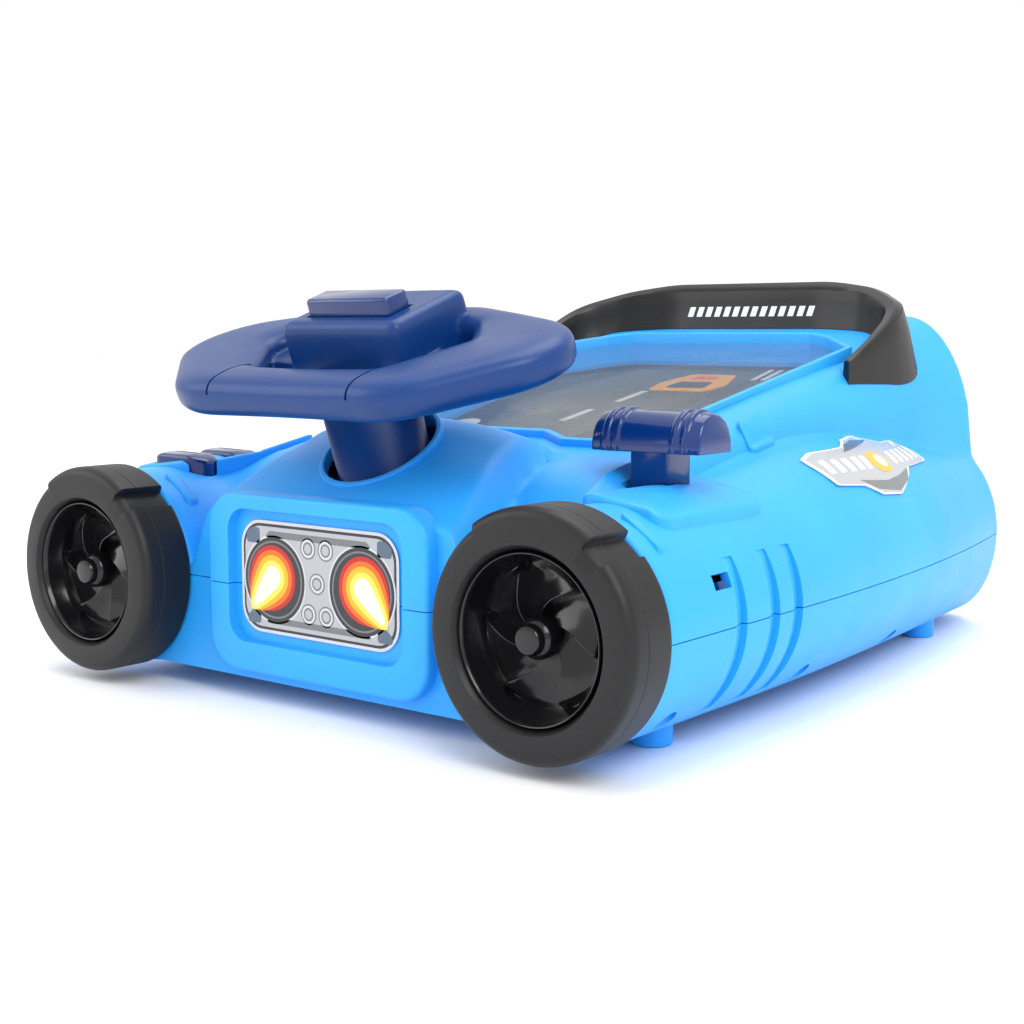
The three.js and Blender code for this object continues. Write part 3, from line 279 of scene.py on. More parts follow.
# %% Tools for skins and booleans
def activate(piece):
    """Make one object the only selected and active one."""
    bpy.ops.object.select_all(action="DESELECT")
    piece.select_set(True)
    bpy.context.view_layer.objects.active = piece
    return piece


def skin(name, rings, closed=True, loop=False):
    """A skin through rings of points (rings x points x 3, in design millimetres)."""
    rings = np.asarray(rings, float)
    if closed:
        rings = np.concatenate([rings, rings[:, :1]], axis=1)
    if loop:
        rings = np.concatenate([rings, rings[:1]], axis=0)
    rows, columns = rings.shape[:2]
    bpy.ops.object.select_all(action="DESELECT")
    bpy.ops.mesh.primitive_grid_add(x_subdivisions=columns - 1, y_subdivisions=rows - 1, size=2)
    piece = bpy.context.object
    piece.name = piece.data.name = name
    piece.data.vertices.foreach_set("co", to_world(rings).ravel())
    bpy.ops.object.mode_set(mode="EDIT")
    bpy.ops.mesh.select_all(action="SELECT")
    bpy.ops.mesh.remove_doubles(threshold=1e-7)
    bpy.ops.mesh.fill_holes(sides=0)
    bpy.ops.mesh.select_all(action="SELECT")
    bpy.ops.mesh.normals_make_consistent(inside=False)
    bpy.ops.object.mode_set(mode="OBJECT")
    return piece


def combine(piece, tool, operation):
    """Join, cut or intersect a piece with a tool, which is used up."""
    activate(piece)
    modifier = piece.modifiers.new("combine", "BOOLEAN")
    modifier.operation = operation
    modifier.solver = "EXACT"
    modifier.object = tool
    bpy.ops.object.modifier_apply(modifier=modifier.name)
    bpy.data.objects.remove(tool, do_unlink=True)
    return piece


def join(piece, *tools):
    for tool in tools:
        combine(piece, tool, "UNION")
    return piece


def cut(piece, *tools):
    for tool in tools:
        combine(piece, tool, "DIFFERENCE")
    return piece


def block(low, high, bevel=0.0):
    """A box between two corners, with rounded edges if asked."""
    low, high = to_world(low), to_world(high)
    bpy.ops.object.select_all(action="DESELECT")
    bpy.ops.mesh.primitive_cube_add(size=1, location=tuple((low + high) / 2))
    piece = bpy.context.object
    piece.scale = tuple(high - low)
    bpy.ops.object.transform_apply(location=True, rotation=True, scale=True)
    if bevel:
        round_edges(piece, bevel)
    return piece


def round_edges(piece, width, segments=3, angle=35):
    """Round every edge sharper than an angle, by a width in millimetres."""
    activate(piece)
    bpy.ops.object.mode_set(mode="EDIT")
    bpy.ops.mesh.select_all(action="SELECT")
    bpy.ops.mesh.remove_doubles(threshold=2e-6)
    bpy.ops.mesh.dissolve_limited(angle_limit=math.radians(0.8))
    bpy.ops.object.mode_set(mode="OBJECT")
    modifier = piece.modifiers.new("round", "BEVEL")
    modifier.width = width * MM
    modifier.segments = segments
    modifier.limit_method = "ANGLE"
    modifier.angle_limit = math.radians(angle)
    modifier.use_clamp_overlap = True
    bpy.ops.object.modifier_apply(modifier=modifier.name)
    return piece


def shade(piece, angle=32):
    """Smooth shading, broken at edges sharper than an angle."""
    activate(piece)
    bpy.ops.object.shade_smooth_by_angle(angle=math.radians(angle))
    return piece


def finish(piece, material, body, slot, *nodes):
    """Give a piece its finish, its body and the ready-made pieces it stands for."""
    piece.data.materials.clear()
    piece.data.materials.append(material)
    shade(piece)
    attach(piece, body)
    if nodes:
        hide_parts(*nodes)
    print(piece.name, len(piece.data.polygons), "faces")
    return piece


def rounded(corners, radius, steps=6):
    """A polygon with its corners rounded by arcs."""
    corners = np.asarray(corners, float)
    path = []
    for before, p, after in zip(np.roll(corners, 1, 0), corners, np.roll(corners, -1, 0)):
        a, b = before - p, after - p
        la, lb = np.linalg.norm(a), np.linalg.norm(b)
        a, b = a / la, b / lb
        half = math.acos(np.clip(a @ b, -0.999999, 0.999999)) / 2
        reach = min(radius / math.tan(half), 0.49 * min(la, lb))
        middle = (a + b) / np.linalg.norm(a + b) * reach / math.cos(half)
        start, end = a * reach - middle, b * reach - middle
        turn = math.atan2(start[0] * end[1] - start[1] * end[0], start @ end)
        for k in range(steps + 1):
            c, s = math.cos(turn * k / steps), math.sin(turn * k / steps)
            path.append(p + middle + (c * start[0] - s * start[1], s * start[0] + c * start[1]))
    return np.array(path)


def inset(corners, distance):
    """A counter-clockwise polygon moved inwards by a distance."""
    p = np.asarray(corners, float)
    d1 = p - np.roll(p, 1, 0)
    d2 = np.roll(p, -1, 0) - p
    d1 /= np.linalg.norm(d1, axis=1)[:, None]
    d2 /= np.linalg.norm(d2, axis=1)[:, None]
    n = np.stack([-d1[:, 1] - d2[:, 1], d1[:, 0] + d2[:, 0]], 1)
    n /= np.linalg.norm(n, axis=1)[:, None]
    reach = distance / np.maximum((n * np.stack([-d1[:, 1], d1[:, 0]], 1)).sum(1), 0.3)
    return p + n * reach[:, None]


def mirror_half(half):
    """A right half completed with its mirror image."""
    return [*half, *[[-x, y] for x, y in reversed(half)]]


def mirrored(rings):
    """Rings of points on the other side of the plane of symmetry."""
    return np.asarray(rings, float) * (-1, 1, 1)


print("tools for skins ready")

# %% [markdown]
# ## The form of the housing
#
# The upper shell is a height over the joint line: two pods that run from front to back, a deck that
# falls to them in a rounded shoulder, and a hood in front that carries the steering column.

# %% Heights of the upper shell
WALL, FRONT_Y, REAR_Y, CORNER_Y = 2.2, 15.8, 250.0, 236.0
POD_RADIUS = 26.8
FRONT_ROUND = 1.6                # rounding of the housing's front edge
RIM_SLOPE = math.tan(math.radians(12))


def smooth(y, low, high):
    t = np.clip((y - low) / (high - low), 0, 1)
    return t * t * (3 - 2 * t)


def soft_min(a, b, k):
    h = np.maximum(k - np.abs(a - b), 0) / k
    return np.minimum(a, b) - h * h * k / 4


def soft_max(a, b, k):
    return -soft_min(-a, -b, k)


def along(knots, y, rounding=5):
    xs, vs = zip(*knots)
    return np.mean([np.interp(y + d, xs, vs) for d in np.linspace(-rounding, rounding, 15)], axis=0)


def half_width(y):
    t = np.clip((y - 73) / (CORNER_Y - 73), 0, 1.1)
    corner = np.clip((y - CORNER_Y) / (REAR_Y - CORNER_Y), 0, 1)
    return POD_X + POD_RADIUS - 16.7 * t * t - 26 * (1 - np.sqrt(1 - corner * corner))


def rim_plane(y):
    return 64.8 + (y - 206.4) * RIM_SLOPE


def deck_level(y):
    knots = [[FRONT_Y, 2.5], [51, 30], [78, rim_plane(78) - 2], [300, rim_plane(300) - 2]]
    t = np.clip((y - (REAR_Y - 10)) / 10, 0, 1)
    return along(knots, y) - 10 * (1 - np.sqrt(1 - t * t))


def pod_top(x, y):
    crest = POD_X - 9 * smooth(y, 60, 140) - 3 * smooth(y, 140, CORNER_Y)
    height = POD_RADIUS + 8.5 * smooth(y, 60, 140) - 6.8 * smooth(y, 140, CORNER_Y)
    spread = np.where(x > crest, np.maximum(half_width(y) - crest, 1), POD_RADIUS)
    t = np.clip(np.abs(x - crest) / spread, 0, 1)
    return height * np.sqrt(1 - t * t)


def deck_foot(y):
    return np.minimum(67 + 0.06 * (np.maximum(y, 78) - 110), half_width(y) - 8)


def shoulder_width(y):
    return 11 + 14 * smooth(y, 80, CORNER_Y)


def deck_top(x, y):
    level, foot, width = deck_level(y), deck_foot(y), shoulder_width(y)
    low = np.minimum(pod_top(foot, y), level)
    t = np.clip((x - foot + width) / width, 0, 1)
    return low + (level - low) * np.sqrt(1 - t * t) - 3 * np.maximum(x - foot, 0)


HOOD_CROWN = [[12, 18.8], [37.4, 35], [50, 42.6], [57, 42.6], [66, 39], [74, 36.4], [80, 30], [90, 15]]
HOOD_EDGE = [[13, 43], [45, 35], [60, 35], [90, 38]]


def hood_top(x, y):
    crown, edge = along(HOOD_CROWN, y), along(HOOD_EDGE, y)
    bulge = 2 + 2.5 * smooth(y, 30, 48)
    return soft_min(crown - bulge * (x / edge) ** 2, crown - bulge - 2.4 * (x - edge), 5)


def top_height(x, y):
    """Height of the upper shell's outside over the joint line."""
    x = np.abs(x)
    body = soft_max(pod_top(x, y), deck_top(x, y), 5)
    return np.maximum(soft_max(body, hood_top(x, y), 2.5), 0)


def stations(y, counts, edge=0.0):
    """Positions across the body, closer together where the form turns."""
    shoulder = along(HOOD_EDGE, y) * (1 - smooth(y, 50, 80)) \
        + (deck_foot(y) - shoulder_width(y)) * smooth(y, 50, 80)
    foot = (POD_X - POD_RADIUS + 2) * (1 - smooth(y, 45, 80)) + deck_foot(y) * smooth(y, 45, 80)
    marks = [np.zeros_like(y), shoulder, foot, half_width(y) - edge]
    half = [marks[0]]
    for i, count in enumerate(counts):
        for j in range(1, count + 1):
            t = j / count
            t = math.sin(t * math.pi / 2) if i == 2 else t
            half.append(marks[i] + (marks[i + 1] - marks[i]) * t)
    half = np.stack(half, -1)
    return np.concatenate([-half[..., :0:-1], half], -1)


def field(name, rows, counts, height, floor, edge=0.0):
    """A solid between a level floor and a height over it."""
    rows = np.asarray(rows, float)
    x = stations(rows, counts, edge)
    y = np.repeat(rows[:, None], x.shape[1], 1)
    z = height(x, y)
    rings = np.stack([x, y, z], -1)
    skirt = rings[:, [0, -1]].copy()
    skirt[..., 2] = floor
    rings = np.concatenate([skirt[:, :1], rings, skirt[:, 1:]], 1)
    front, back = rings[:1].copy(), rings[-1:].copy()
    front[..., 2] = back[..., 2] = floor
    return skin(name, np.concatenate([front, rings, back], 0), closed=False)


corner_rows = CORNER_Y + (REAR_Y - CORNER_Y) * np.sin(np.linspace(0, math.pi / 2, 16))
front_rows = FRONT_Y + FRONT_ROUND * (1 - np.cos(np.linspace(0, math.pi / 2, 6)))
body_rows = np.concatenate([front_rows, np.arange(19, 88, 1.5), np.arange(88, 235, 3.0), corner_rows])


def outside(x, y):
    t = np.clip(1 - (y - FRONT_Y) / FRONT_ROUND, 0, 1)
    return np.maximum(top_height(x, y) - FRONT_ROUND * (1 - np.sqrt(1 - t * t)), 0)


def inside(x, y):
    z = outside(x, y) - WALL
    for a in np.arange(8) * math.pi / 4:
        z = np.minimum(z, outside(x + WALL * math.cos(a), y + WALL * math.sin(a)))
    return np.maximum(z, 0.05)


housing = field("upper_housing", body_rows, (22, 14, 22), outside, -4)
print("outside of the upper shell:", len(housing.data.vertices), "points")

# %% [markdown]
# ## Features of the housing
#
# Raised pads, arch ribs and the latch drape over the pods. The window rim stands on the deck, the
# collar on the hood, and the panel frame in front. Then the openings are cut.

# %% Pads, rim, collar and panel frame
RISE = 2.3                       # of the pads under the lever and the buttons
GILL_EDGES = (47, 62, 73)        # rear edges of the gills
FRONT_BUTTON_Y, REAR_BUTTON_Y = 37, 53


def draped(name, corners, rise, radius=3.0, edge=0.9):
    """A pad with a rounded upper edge that follows the surface under it."""
    corners = np.asarray(corners, float)
    around = rounded(corners, radius)
    middle = around.mean(0)
    rings = []
    for angle in (None, 0, 22, 45, 67, 90):
        step = 0 if angle is None else edge * (1 - math.cos(math.radians(angle)))
        lift = -3 if angle is None else rise - edge * (1 - math.sin(math.radians(angle)))
        path = rounded(inset(corners, step) if step else corners, max(radius - step, 0.4))
        rings.append((path, lift))
    last = rings[-1][0]
    for t in (0.85, 0.7, 0.55, 0.4, 0.25, 0.1):
        rings.append((middle + (last - middle) * t, rise))
    points = [np.column_stack([path, top_height(path[:, 0], path[:, 1]) + lift])
              for path, lift in rings]
    return skin(name, points)


PADS = [
    ([[69, 30.5], [92, 29], [92.5, 74], [60, 74], [60, 52]], RISE, 4.0, 0.9),
    ([[86, 21.5], [96.5, 21.5], [96.5, 25], [86, 25]], 1.2, 1.0, 0.5),
    ([[56.5, 21.5], [67, 21.5], [67, 25], [56.5, 25]], 1.2, 1.0, 0.5),
    ([[63, 109], [69, 109], [69, 121], [63, 121]], 2.0, 1.6, 0.8),
]
RIM = [[19.5, 81.6], [29.8, 75.1], [51.6, 75.1], [58.3, 186.6], [43.5, 201.5], [34.9, 206.4]]
RIM_OUTLINE = mirror_half(RIM)


def rim_ring(steps, radius=1.5):
    """A ring through (inset, height over the rim plane) steps around the window."""
    rings = []
    for step, lift in steps:
        path = rounded(inset(RIM_OUTLINE, step), max(radius - step, 0.4), 4)
        rings.append(np.column_stack([path, rim_plane(path[:, 1]) + lift]))
    return rings


COLLAR_CENTRE = np.array([0, 31.9 + math.tan(math.radians(19.2)) * 17.6, 35.1])
COLLAR_TILT = math.radians(33)


def collar_rings(profile, count=96):
    """A lathe about the collar's axis through (radius, height) steps."""
    a = np.linspace(0, 2 * math.pi, count, endpoint=False)
    rings = []
    for r, h in profile:
        x, v = r * np.cos(a), r * np.sin(a)
        y = COLLAR_CENTRE[1] + v * math.cos(COLLAR_TILT) - h * math.sin(COLLAR_TILT)
        z = COLLAR_CENTRE[2] + v * math.sin(COLLAR_TILT) + h * math.cos(COLLAR_TILT)
        rings.append(np.stack([x, y, z], -1))
    return rings


def panel_prism(grow, radius, y0, y1, soft=0.0):
    """A prism that faces the player, with a rounded front edge."""
    w, low, high = 30.5 + grow, -14.6 - grow, 20 + grow * 0.5
    corners = [[-w, low], [w, low], [w, high], [-w, high]]
    steps = [(0, y1)] + [(soft * (1 - math.cos(a)), y0 + soft * (1 - math.sin(a)))
                         for a in np.linspace(0, math.pi / 2, 5 if soft else 1)]
    rings = []
    for step, y in steps:
        path = rounded(inset(corners, step) if step else corners, max(radius - step, 0.5), 10)
        rings.append(np.column_stack([path[:, 0], np.full(len(path), y), path[:, 1]]))
    return skin("panel_prism", rings)


pads = [draped("pad", np.array(c) * (s, 1) if s > 0 else np.array(c)[::-1] * (s, 1), rise, radius, edge)
        for c, rise, radius, edge in PADS for s in (1, -1)]
join(housing, *pads)
join(housing, skin("collar", collar_rings([
    (16.9, -4.3), (17.1, 0.6), (16.8, 1.05), (16.3, 1.2), (0.5, 1.2), (0.5, -4.3)])))
join(housing, panel_prism(8, 10, 12.3, 18.8, 1.3))
print("pads, collar and frame joined:", len(housing.data.polygons), "faces")

# %% Hollow and openings
hollow_rows = np.concatenate([[18.0], np.arange(21, 88, 4.0), np.arange(92, 235, 8.0),
                              CORNER_Y + 14 * np.sin(np.linspace(0, math.pi / 2 - 0.55, 6))])
cut(housing, field("hollow", hollow_rows, (8, 6, 8), inside, -8, WALL))
cut(housing, block((-130, -20, -40), (130, 300, 0.12)))
cut(housing, skin("window_opening", rim_ring([(1.4, -34), (1.4, 6)])))
join(housing, skin("window_rim", rim_ring([
    (0, -12), (0, -0.5), (0.15, -0.15), (0.5, 0), (1.6, 0), (1.85, -0.15), (2, -0.5), (2, -4.9),
    (2, -12)]), loop=True))
cut(housing, skin("collar_hole", collar_rings([
    (15.6, -14), (15.6, 0.9), (15.75, 1.15), (16.0, 1.3), (16.0, 4)])))
cut(housing, panel_prism(0, 6, 10, 14.9))
cut(housing, block((64.25, 52.95, 12), (77.85, 69.35, 60)))
for y in (FRONT_BUTTON_Y, REAR_BUTTON_Y):
    hole = rounded([[-87, y - 5.5], [-65, y - 5.5], [-65, y + 5.5], [-87, y + 5.5]], 5.5, 10)
    cut(housing, skin("button_hole", [np.column_stack([hole, np.full(len(hole), z)]) for z in (10, 60)]))


def gill(edge_y, side):
    """A crescent scoop in the side of a pod, deepest at its sharp rear edge."""
    rings = []
    for t in np.linspace(0, 1, 25):
        angle = math.radians(56 + (140 - 56) * t)
        depth = 0.1 + 1.5 * math.sqrt(math.sin(math.pi * min(max(t, 0.02), 0.98)))
        ring = []
        for r, y in ((1.5, -5), (1.5, 0), (-depth, 0), (-0.75 * depth, -1.6), (-0.35 * depth, -3.4),
                     (0, -5)):
            r += POD_RADIUS
            ring.append([side * (POD_X + r * math.sin(angle)), edge_y + y, r * math.cos(angle)])
        rings.append(ring)
    return skin("gill", rings)


def cut_gills(shell):
    """Cut the row of gills in both sides of a shell."""
    for side in (1, -1):
        for edge_y in GILL_EDGES:
            cut(shell, gill(edge_y, side))


switch_turn = math.radians(67)
slot = block((-1.8, -3.6, 0), (1.8, 3.6, 12))
for corner in slot.data.vertices:
    x, y, z = (np.array(corner.co) - ORIGIN) / MM
    r = POD_RADIUS - 9 + z
    corner.co = to_world((POD_X + r * math.sin(switch_turn) + x * math.cos(switch_turn),
                          39.2 + y, r * math.cos(switch_turn) - x * math.sin(switch_turn)))
cut(housing, slot)
cut_gills(housing)
finish(housing, SKY_BLUE, "body", "body", "upper_shell")

# %% [markdown]
# ## Steering wheel
#
# The rim is a rounded tube whose inner and outer edges are different polygons, so every section is
# wider or narrower. A fine remesh melts rim, spokes and pad together as in one moulding.

# %% Steering wheel and horn button
TILT = math.radians(19.2)
WHEEL_PLACE = np.array([0, 31.9, 52.7])
BOSS_RADIUS = 13.5


def from_wheel(points):
    """Points of the wheel's own axes, +Z along the column, in the design's axes."""
    p = np.asarray(points, float)
    c, s = math.cos(TILT), math.sin(TILT)
    x, y, z = np.moveaxis(p, -1, 0)
    return np.stack([x, y * c - z * s, y * s + z * c], -1) + WHEEL_PLACE


def place_on_wheel(piece):
    """Turn a piece that was made in the wheel's own axes into its place."""
    points = np.empty(3 * len(piece.data.vertices))
    piece.data.vertices.foreach_get("co", points)
    own = (points.reshape(-1, 3) - ORIGIN) / MM
    piece.data.vertices.foreach_set("co", to_world(from_wheel(own)).ravel())
    piece.data.update()
    return piece


def reach_of(path, angles):
    """Distance from the middle to a closed path, in each direction."""
    fine = np.concatenate([path + (np.roll(path, -1, 0) - path) * t for t in np.linspace(0, 0.95, 20)])
    turn = np.arctan2(fine[:, 1], fine[:, 0])
    order = np.argsort(turn)
    return np.interp(angles, turn[order], np.hypot(*fine.T)[order], period=2 * math.pi)


RING_ANGLES = np.linspace(-math.pi, math.pi, 192, endpoint=False)
outer_path = rounded(mirror_half([[37.1, -30.6], [76.3, 9.2], [21.3, 30.6]]), 22, 12)
grip_path = rounded(mirror_half([[21, -15.6], [34, 3.5], [26, 15.8]]), 5, 10)
ring_out, ring_in = reach_of(outer_path, RING_ANGLES), reach_of(grip_path, RING_ANGLES)
middle, half = (ring_out + ring_in) / 2, (ring_out - ring_in) / 2
power = np.clip(2.4 + (half - 7) * 0.14, 2.4, 4.2)
ring_rings = []
for a in np.linspace(0, 2 * math.pi, 36, endpoint=False):
    c, s = math.cos(a), math.sin(a)
    r = middle + half * np.sign(c) * abs(c) ** (2 / power)
    z = 5.3 + 5.3 * np.sign(s) * abs(s) ** (2 / power)
    ring_rings.append(np.stack([r * np.cos(RING_ANGLES), r * np.sin(RING_ANGLES), z], -1))
wheel = skin("steering_rim", ring_rings, loop=True)
join(wheel, block((-20.3, -5.4, 0), (20.3, 23, 16.9), 2.6),
     block((-38, -2, 1), (38, 9, 5.5), 1.2))
activate(wheel)
wheel.data.remesh_voxel_size = 0.7 * MM
bpy.ops.object.voxel_remesh()
bpy.ops.object.modifier_add(type="SMOOTH")
wheel.modifiers[-1].iterations = 5
bpy.ops.object.modifier_apply(modifier=wheel.modifiers[-1].name)
boss_angles = np.linspace(0, 2 * math.pi, 64, endpoint=False)
join(wheel, skin("wheel_boss", [[(BOSS_RADIUS * math.cos(a), BOSS_RADIUS * math.sin(a), z)
                                 for a in boss_angles] for z in (0.3, 4)]))
cut(wheel, block((-14.5, -0.5, 8), (14.5, 9, 30)))
for x in (-24.0, 24.0):
    groove = block((x - 0.35, -40, 7), (x + 0.35, -14, 14))
    cut(wheel, groove)
place_on_wheel(wheel)
finish(wheel, NAVY, "steering", "navy", "steering_wheel")

horn = block((-14, 0, 11), (14, 8.5, 21.4), 1.1)
horn.name = horn.data.name = "horn_cap"
place_on_wheel(horn)
finish(horn, NAVY_GLOSS, "horn", "navy", "horn_button")

# %% [markdown]
# ## Tyres and hubcaps
#
# A tyre is turned, then its tread is raised over the top and notched at one side. A hubcap is a dish
# with six swirled blades; its grid lines follow the blades, so their edges stay crisp.

# %% Tyres
TREAD_FROM = 24                  # radius from which the tread is raised


def turned(profile, angles, side, tread):
    """Rings turned about a wheel axis, from (radius, depth) steps, with a tread on the outside."""
    rings = []
    for r, y in profile:
        reach = r + tread(angles) * (r > TREAD_FROM)
        rings.append(np.stack([side * POD_X + reach * np.sin(angles), np.full_like(angles, y),
                               reach * np.cos(angles)], -1))
    return rings


def tread_height(angles):
    """Raised over the top, lower elsewhere, with a notch at one side."""
    degrees = np.degrees(angles)
    top = smooth(degrees, -33.4, -32.8) * (1 - smooth(degrees, 34.6, 35.2))
    notch = smooth(degrees, 34.6, 35.2) * (1 - smooth(degrees, 47.4, 48))
    return 1.1 * top - 1.1 * notch


marks = np.concatenate([np.arange(-180, 180, 3.0),
                        [-33.5, -33.3, -33.1, -32.9, -32.7, 34.5, 34.7, 34.9, 35.1, 35.3, 47.3, 47.5,
                         47.7, 47.9, 48.1]])
tyre_angles = np.radians(np.sort(marks))
arc = np.linspace(0, math.pi / 2, 7)
tyre_profile = [(19.3, 2), (20.3, 0.25), (20.5, 0.06), (20.9, 0), (23.9, 0.35)]
tyre_profile += [(25.2 + 2.3 * math.sin(a), 3.2 - 2.75 * math.cos(a)) for a in arc]
tyre_profile += [(27.5, 6.2), (27.35, 6.35), (27.5, 6.5), (27.5, 13.6)]
tyre_profile += [(26.4 + 1.1 * math.cos(a), 14.4 + 1.1 * math.sin(a)) for a in arc]
tyre_profile += [(19.3, 15.5)]
for side, word in ((1, "right"), (-1, "left")):
    rings = turned(tyre_profile, tyre_angles, side, tread_height)
    tyre = skin("turned_tyre_" + word, rings, loop=True)
    finish(tyre, TYRE_BLACK, "body", "tyre", "tyre_" + word)

# %% Hubcaps
BLADES = 6
across_blade = np.array([0, 0.015, 0.05, 0.12, 0.22, 0.34, 0.46, 0.58, 0.7, 0.8, 0.87, 0.91, 0.935,
                         0.95, 0.965, 0.985])
blade_lift = np.interp(across_blade, [0, 0.1, 0.5, 0.8, 0.91, 0.94, 0.965, 1],
                       [0, 0.02, 0.34, 0.8, 1, 1, 0.72, 0])
blade_angles = np.concatenate([(across_blade + k) * 2 * math.pi / BLADES for k in range(BLADES)])
lift = np.tile(blade_lift, BLADES)


def hub_rings(side):
    rings = []
    steps = [(0.4, 0.8), (2.4, 0.82), (3.0, 0.95), (3.3, 1.35), (3.5, 2.9), (4.2, 3.5), (4.65, 4.3)]
    for r, y in steps:
        rings.append((r, np.full_like(blade_angles, y), blade_angles))
    for t in np.linspace(0, 1, 22):
        r = 4.75 + (16.1 - 4.75) * t
        grow = 1.0 + 2.6 * math.sin(math.pi * min(t * 0.62 + 0.1, 1)) * (1 - smooth(t, 0.86, 1.0) * 0.9)
        turn = blade_angles + math.radians(44) * math.sin(t * math.pi / 2)
        rings.append((r, 8.5 - lift * grow, turn))
    last = rings[-1][2]
    for r, y in ((16.35, 7.6), (16.6, 6.4), (16.9, 5.6), (17.5, 4.4), (18.0, 2.4), (18.25, 1.6),
                 (18.5, 1.2),
                 (18.75, 1.1), (18.95, 1.35), (19, 2), (19, 10.5)):
        rings.append((r, np.full_like(last, y), last))
    return [np.stack([side * POD_X + r * np.sin(a), y, r * np.cos(a)], -1) for r, y, a in rings]


for side, word in ((1, "right"), (-1, "left")):
    cap = skin("turbine_hubcap_" + word, hub_rings(side))
    finish(cap, GLOSS_BLACK, "body", "hubcap", "hubcap_" + word)

# %% [markdown]
# ## Gear lever, buttons and visor
#
# The lever's knob is a half-round bar, lower in the middle, with two raised bands near each end. The
# push buttons are glossy ovals. The visor is a leaning wall that runs round the back of the window.

# %% Gear lever
def half_round(x, depth, height, count=28):
    """A half-round section of the knob at one place along it."""
    a = np.linspace(0, math.pi, count)
    y = 58.9 - np.cos(a) * depth / 2
    z = 36.6 + np.sin(a) ** 0.75 * height
    return np.stack([np.full(count, x), y, z], -1)


knob_steps = [(-15.3, 0.80), (-15.1, 0.86), (-14.6, 0.9), (-13.2, 0.925), (-12.1, 0.93), (-11.9, 0.985),
              (-11.6, 1.0),
              (-10.6, 1.0), (-10.3, 0.985), (-10.1, 0.94), (-9.3, 0.94), (-9.1, 0.985),
              (-8.8, 1.0), (-7.8, 1.0),
              (-7.5, 0.985), (-7.3, 0.945), (-6.6, 0.93), (-3, 0.925)]
knob_steps += [(-x, s) for x, s in reversed(knob_steps)]
lever = skin("gear_knob", [half_round(71.9 + x, 15.3 * (0.5 + 0.5 * s), 10.3 * s) for x, s in knob_steps])
round_edges(lever, 0.5, 2, 50)
stem = NODES["gear_lever"].copy()
stem.data = stem.data.copy()
bpy.context.scene.collection.objects.link(stem)
activate(stem)
bpy.ops.object.transform_apply(location=True, rotation=True, scale=True)
combine(stem, block((50, 40, -20), (95, 80, 36.9)), "INTERSECT")
round_edges(stem, 0.6, 2, 50)
join(lever, stem)
finish(lever, NAVY_GLOSS, "gear_lever", "navy", "gear_lever")

# %% Push buttons
for node, y, word in (("front_button", FRONT_BUTTON_Y, "front"), ("rear_button", REAR_BUTTON_Y, "rear")):
    low, high = box_mm(node)
    corners = [[-86.5, y - 5], [-65.5, y - 5], [-65.5, y + 5], [-86.5, y + 5]]
    points = []
    for step, lift in ((0, None), (0, -1.0), (0.12, -0.55), (0.45, -0.2), (1.0, -0.02), (2.0, 0.12),
                       (3.2, 0.2), (4.2, 0.24)):
        path = rounded(inset(corners, step) if step else corners, max(5 - step, 0.6), 10)
        z = top_height(path[:, 0], path[:, 1]) + RISE + 1.75 + (lift or 0)
        points.append(np.column_stack([path, z if lift is not None else np.full(len(path), low[2] + 0.6)]))
    button = skin(word + "_oval_button", points)
    flange = rounded([[-88, y - 6.5], [-64, y - 6.5], [-64, y + 6.5], [-88, y + 6.5]], 6.5, 8)
    join(button, skin("button_flange", [np.column_stack([flange, np.full(len(flange), low[2] + z)])
                                        for z in (0, 1.2)]))
    finish(button, NAVY_GLOSS, node, "navy", node)

# %% Visor
VISOR_RAILS = [
    [[65, 171, 40], [67, 186, 40], [69, 202, 40], [70, 219, 40], [58, 233, 40], [38, 238, 40],
     [0, 239, 40]],
    [[64.6, 172, 55.8], [66, 187, 61], [66.5, 202, 68], [64.5, 212, 72.6], [50, 226, 78.2],
     [33.5, 231.5, 80.6],
     [0, 231.5, 80.6]],
    [[64, 172.5, 56.4], [64.8, 188, 63.4], [64.4, 201.5, 70.4], [61.5, 210.5, 74.6], [48, 221.8, 79.6],
     [31.4, 226.2, 82], [0, 226.2, 82]],
    [[62.6, 173, 56.4], [62.4, 188, 62.8], [61.6, 200.5, 69], [58.6, 208.4, 73], [46, 218.6, 77.6],
     [29.5, 222.4, 79.6], [0, 222.4, 79.6]],
    [[62.2, 173.2, 55.8], [62, 188.4, 60.4], [61.4, 200.6, 65.4], [58.8, 208.6, 69.2], [46.6, 218.6, 73.4],
     [30.5, 222.2, 75.3], [0, 222.2, 75.3]],
    [[61.4, 173.4, 40], [60.6, 188.4, 40], [59, 198, 40], [55.4, 204, 40], [45, 212, 40], [29.3, 216.6, 40],
     [0, 216.6, 40]],
]


def eased(rail, steps=56):
    """A rail through its points with softened corners."""
    rail = np.asarray(rail, float)
    full = np.concatenate([rail, rail[-2::-1] * (-1, 1, 1)])
    along_rail = np.concatenate([[0], np.cumsum(np.linalg.norm(np.diff(full[:, :2], axis=0), axis=1))])
    along_rail /= along_rail[-1]
    places = np.linspace(0, 1, 2 * steps + 1)
    spread = np.linspace(-0.022, 0.022, 9)
    fade = np.minimum(1, np.minimum(places, 1 - places) / 0.022)
    return np.stack([np.mean([np.interp(places + d * fade, along_rail, full[:, k]) for d in spread], axis=0)
                     for k in range(3)], -1)


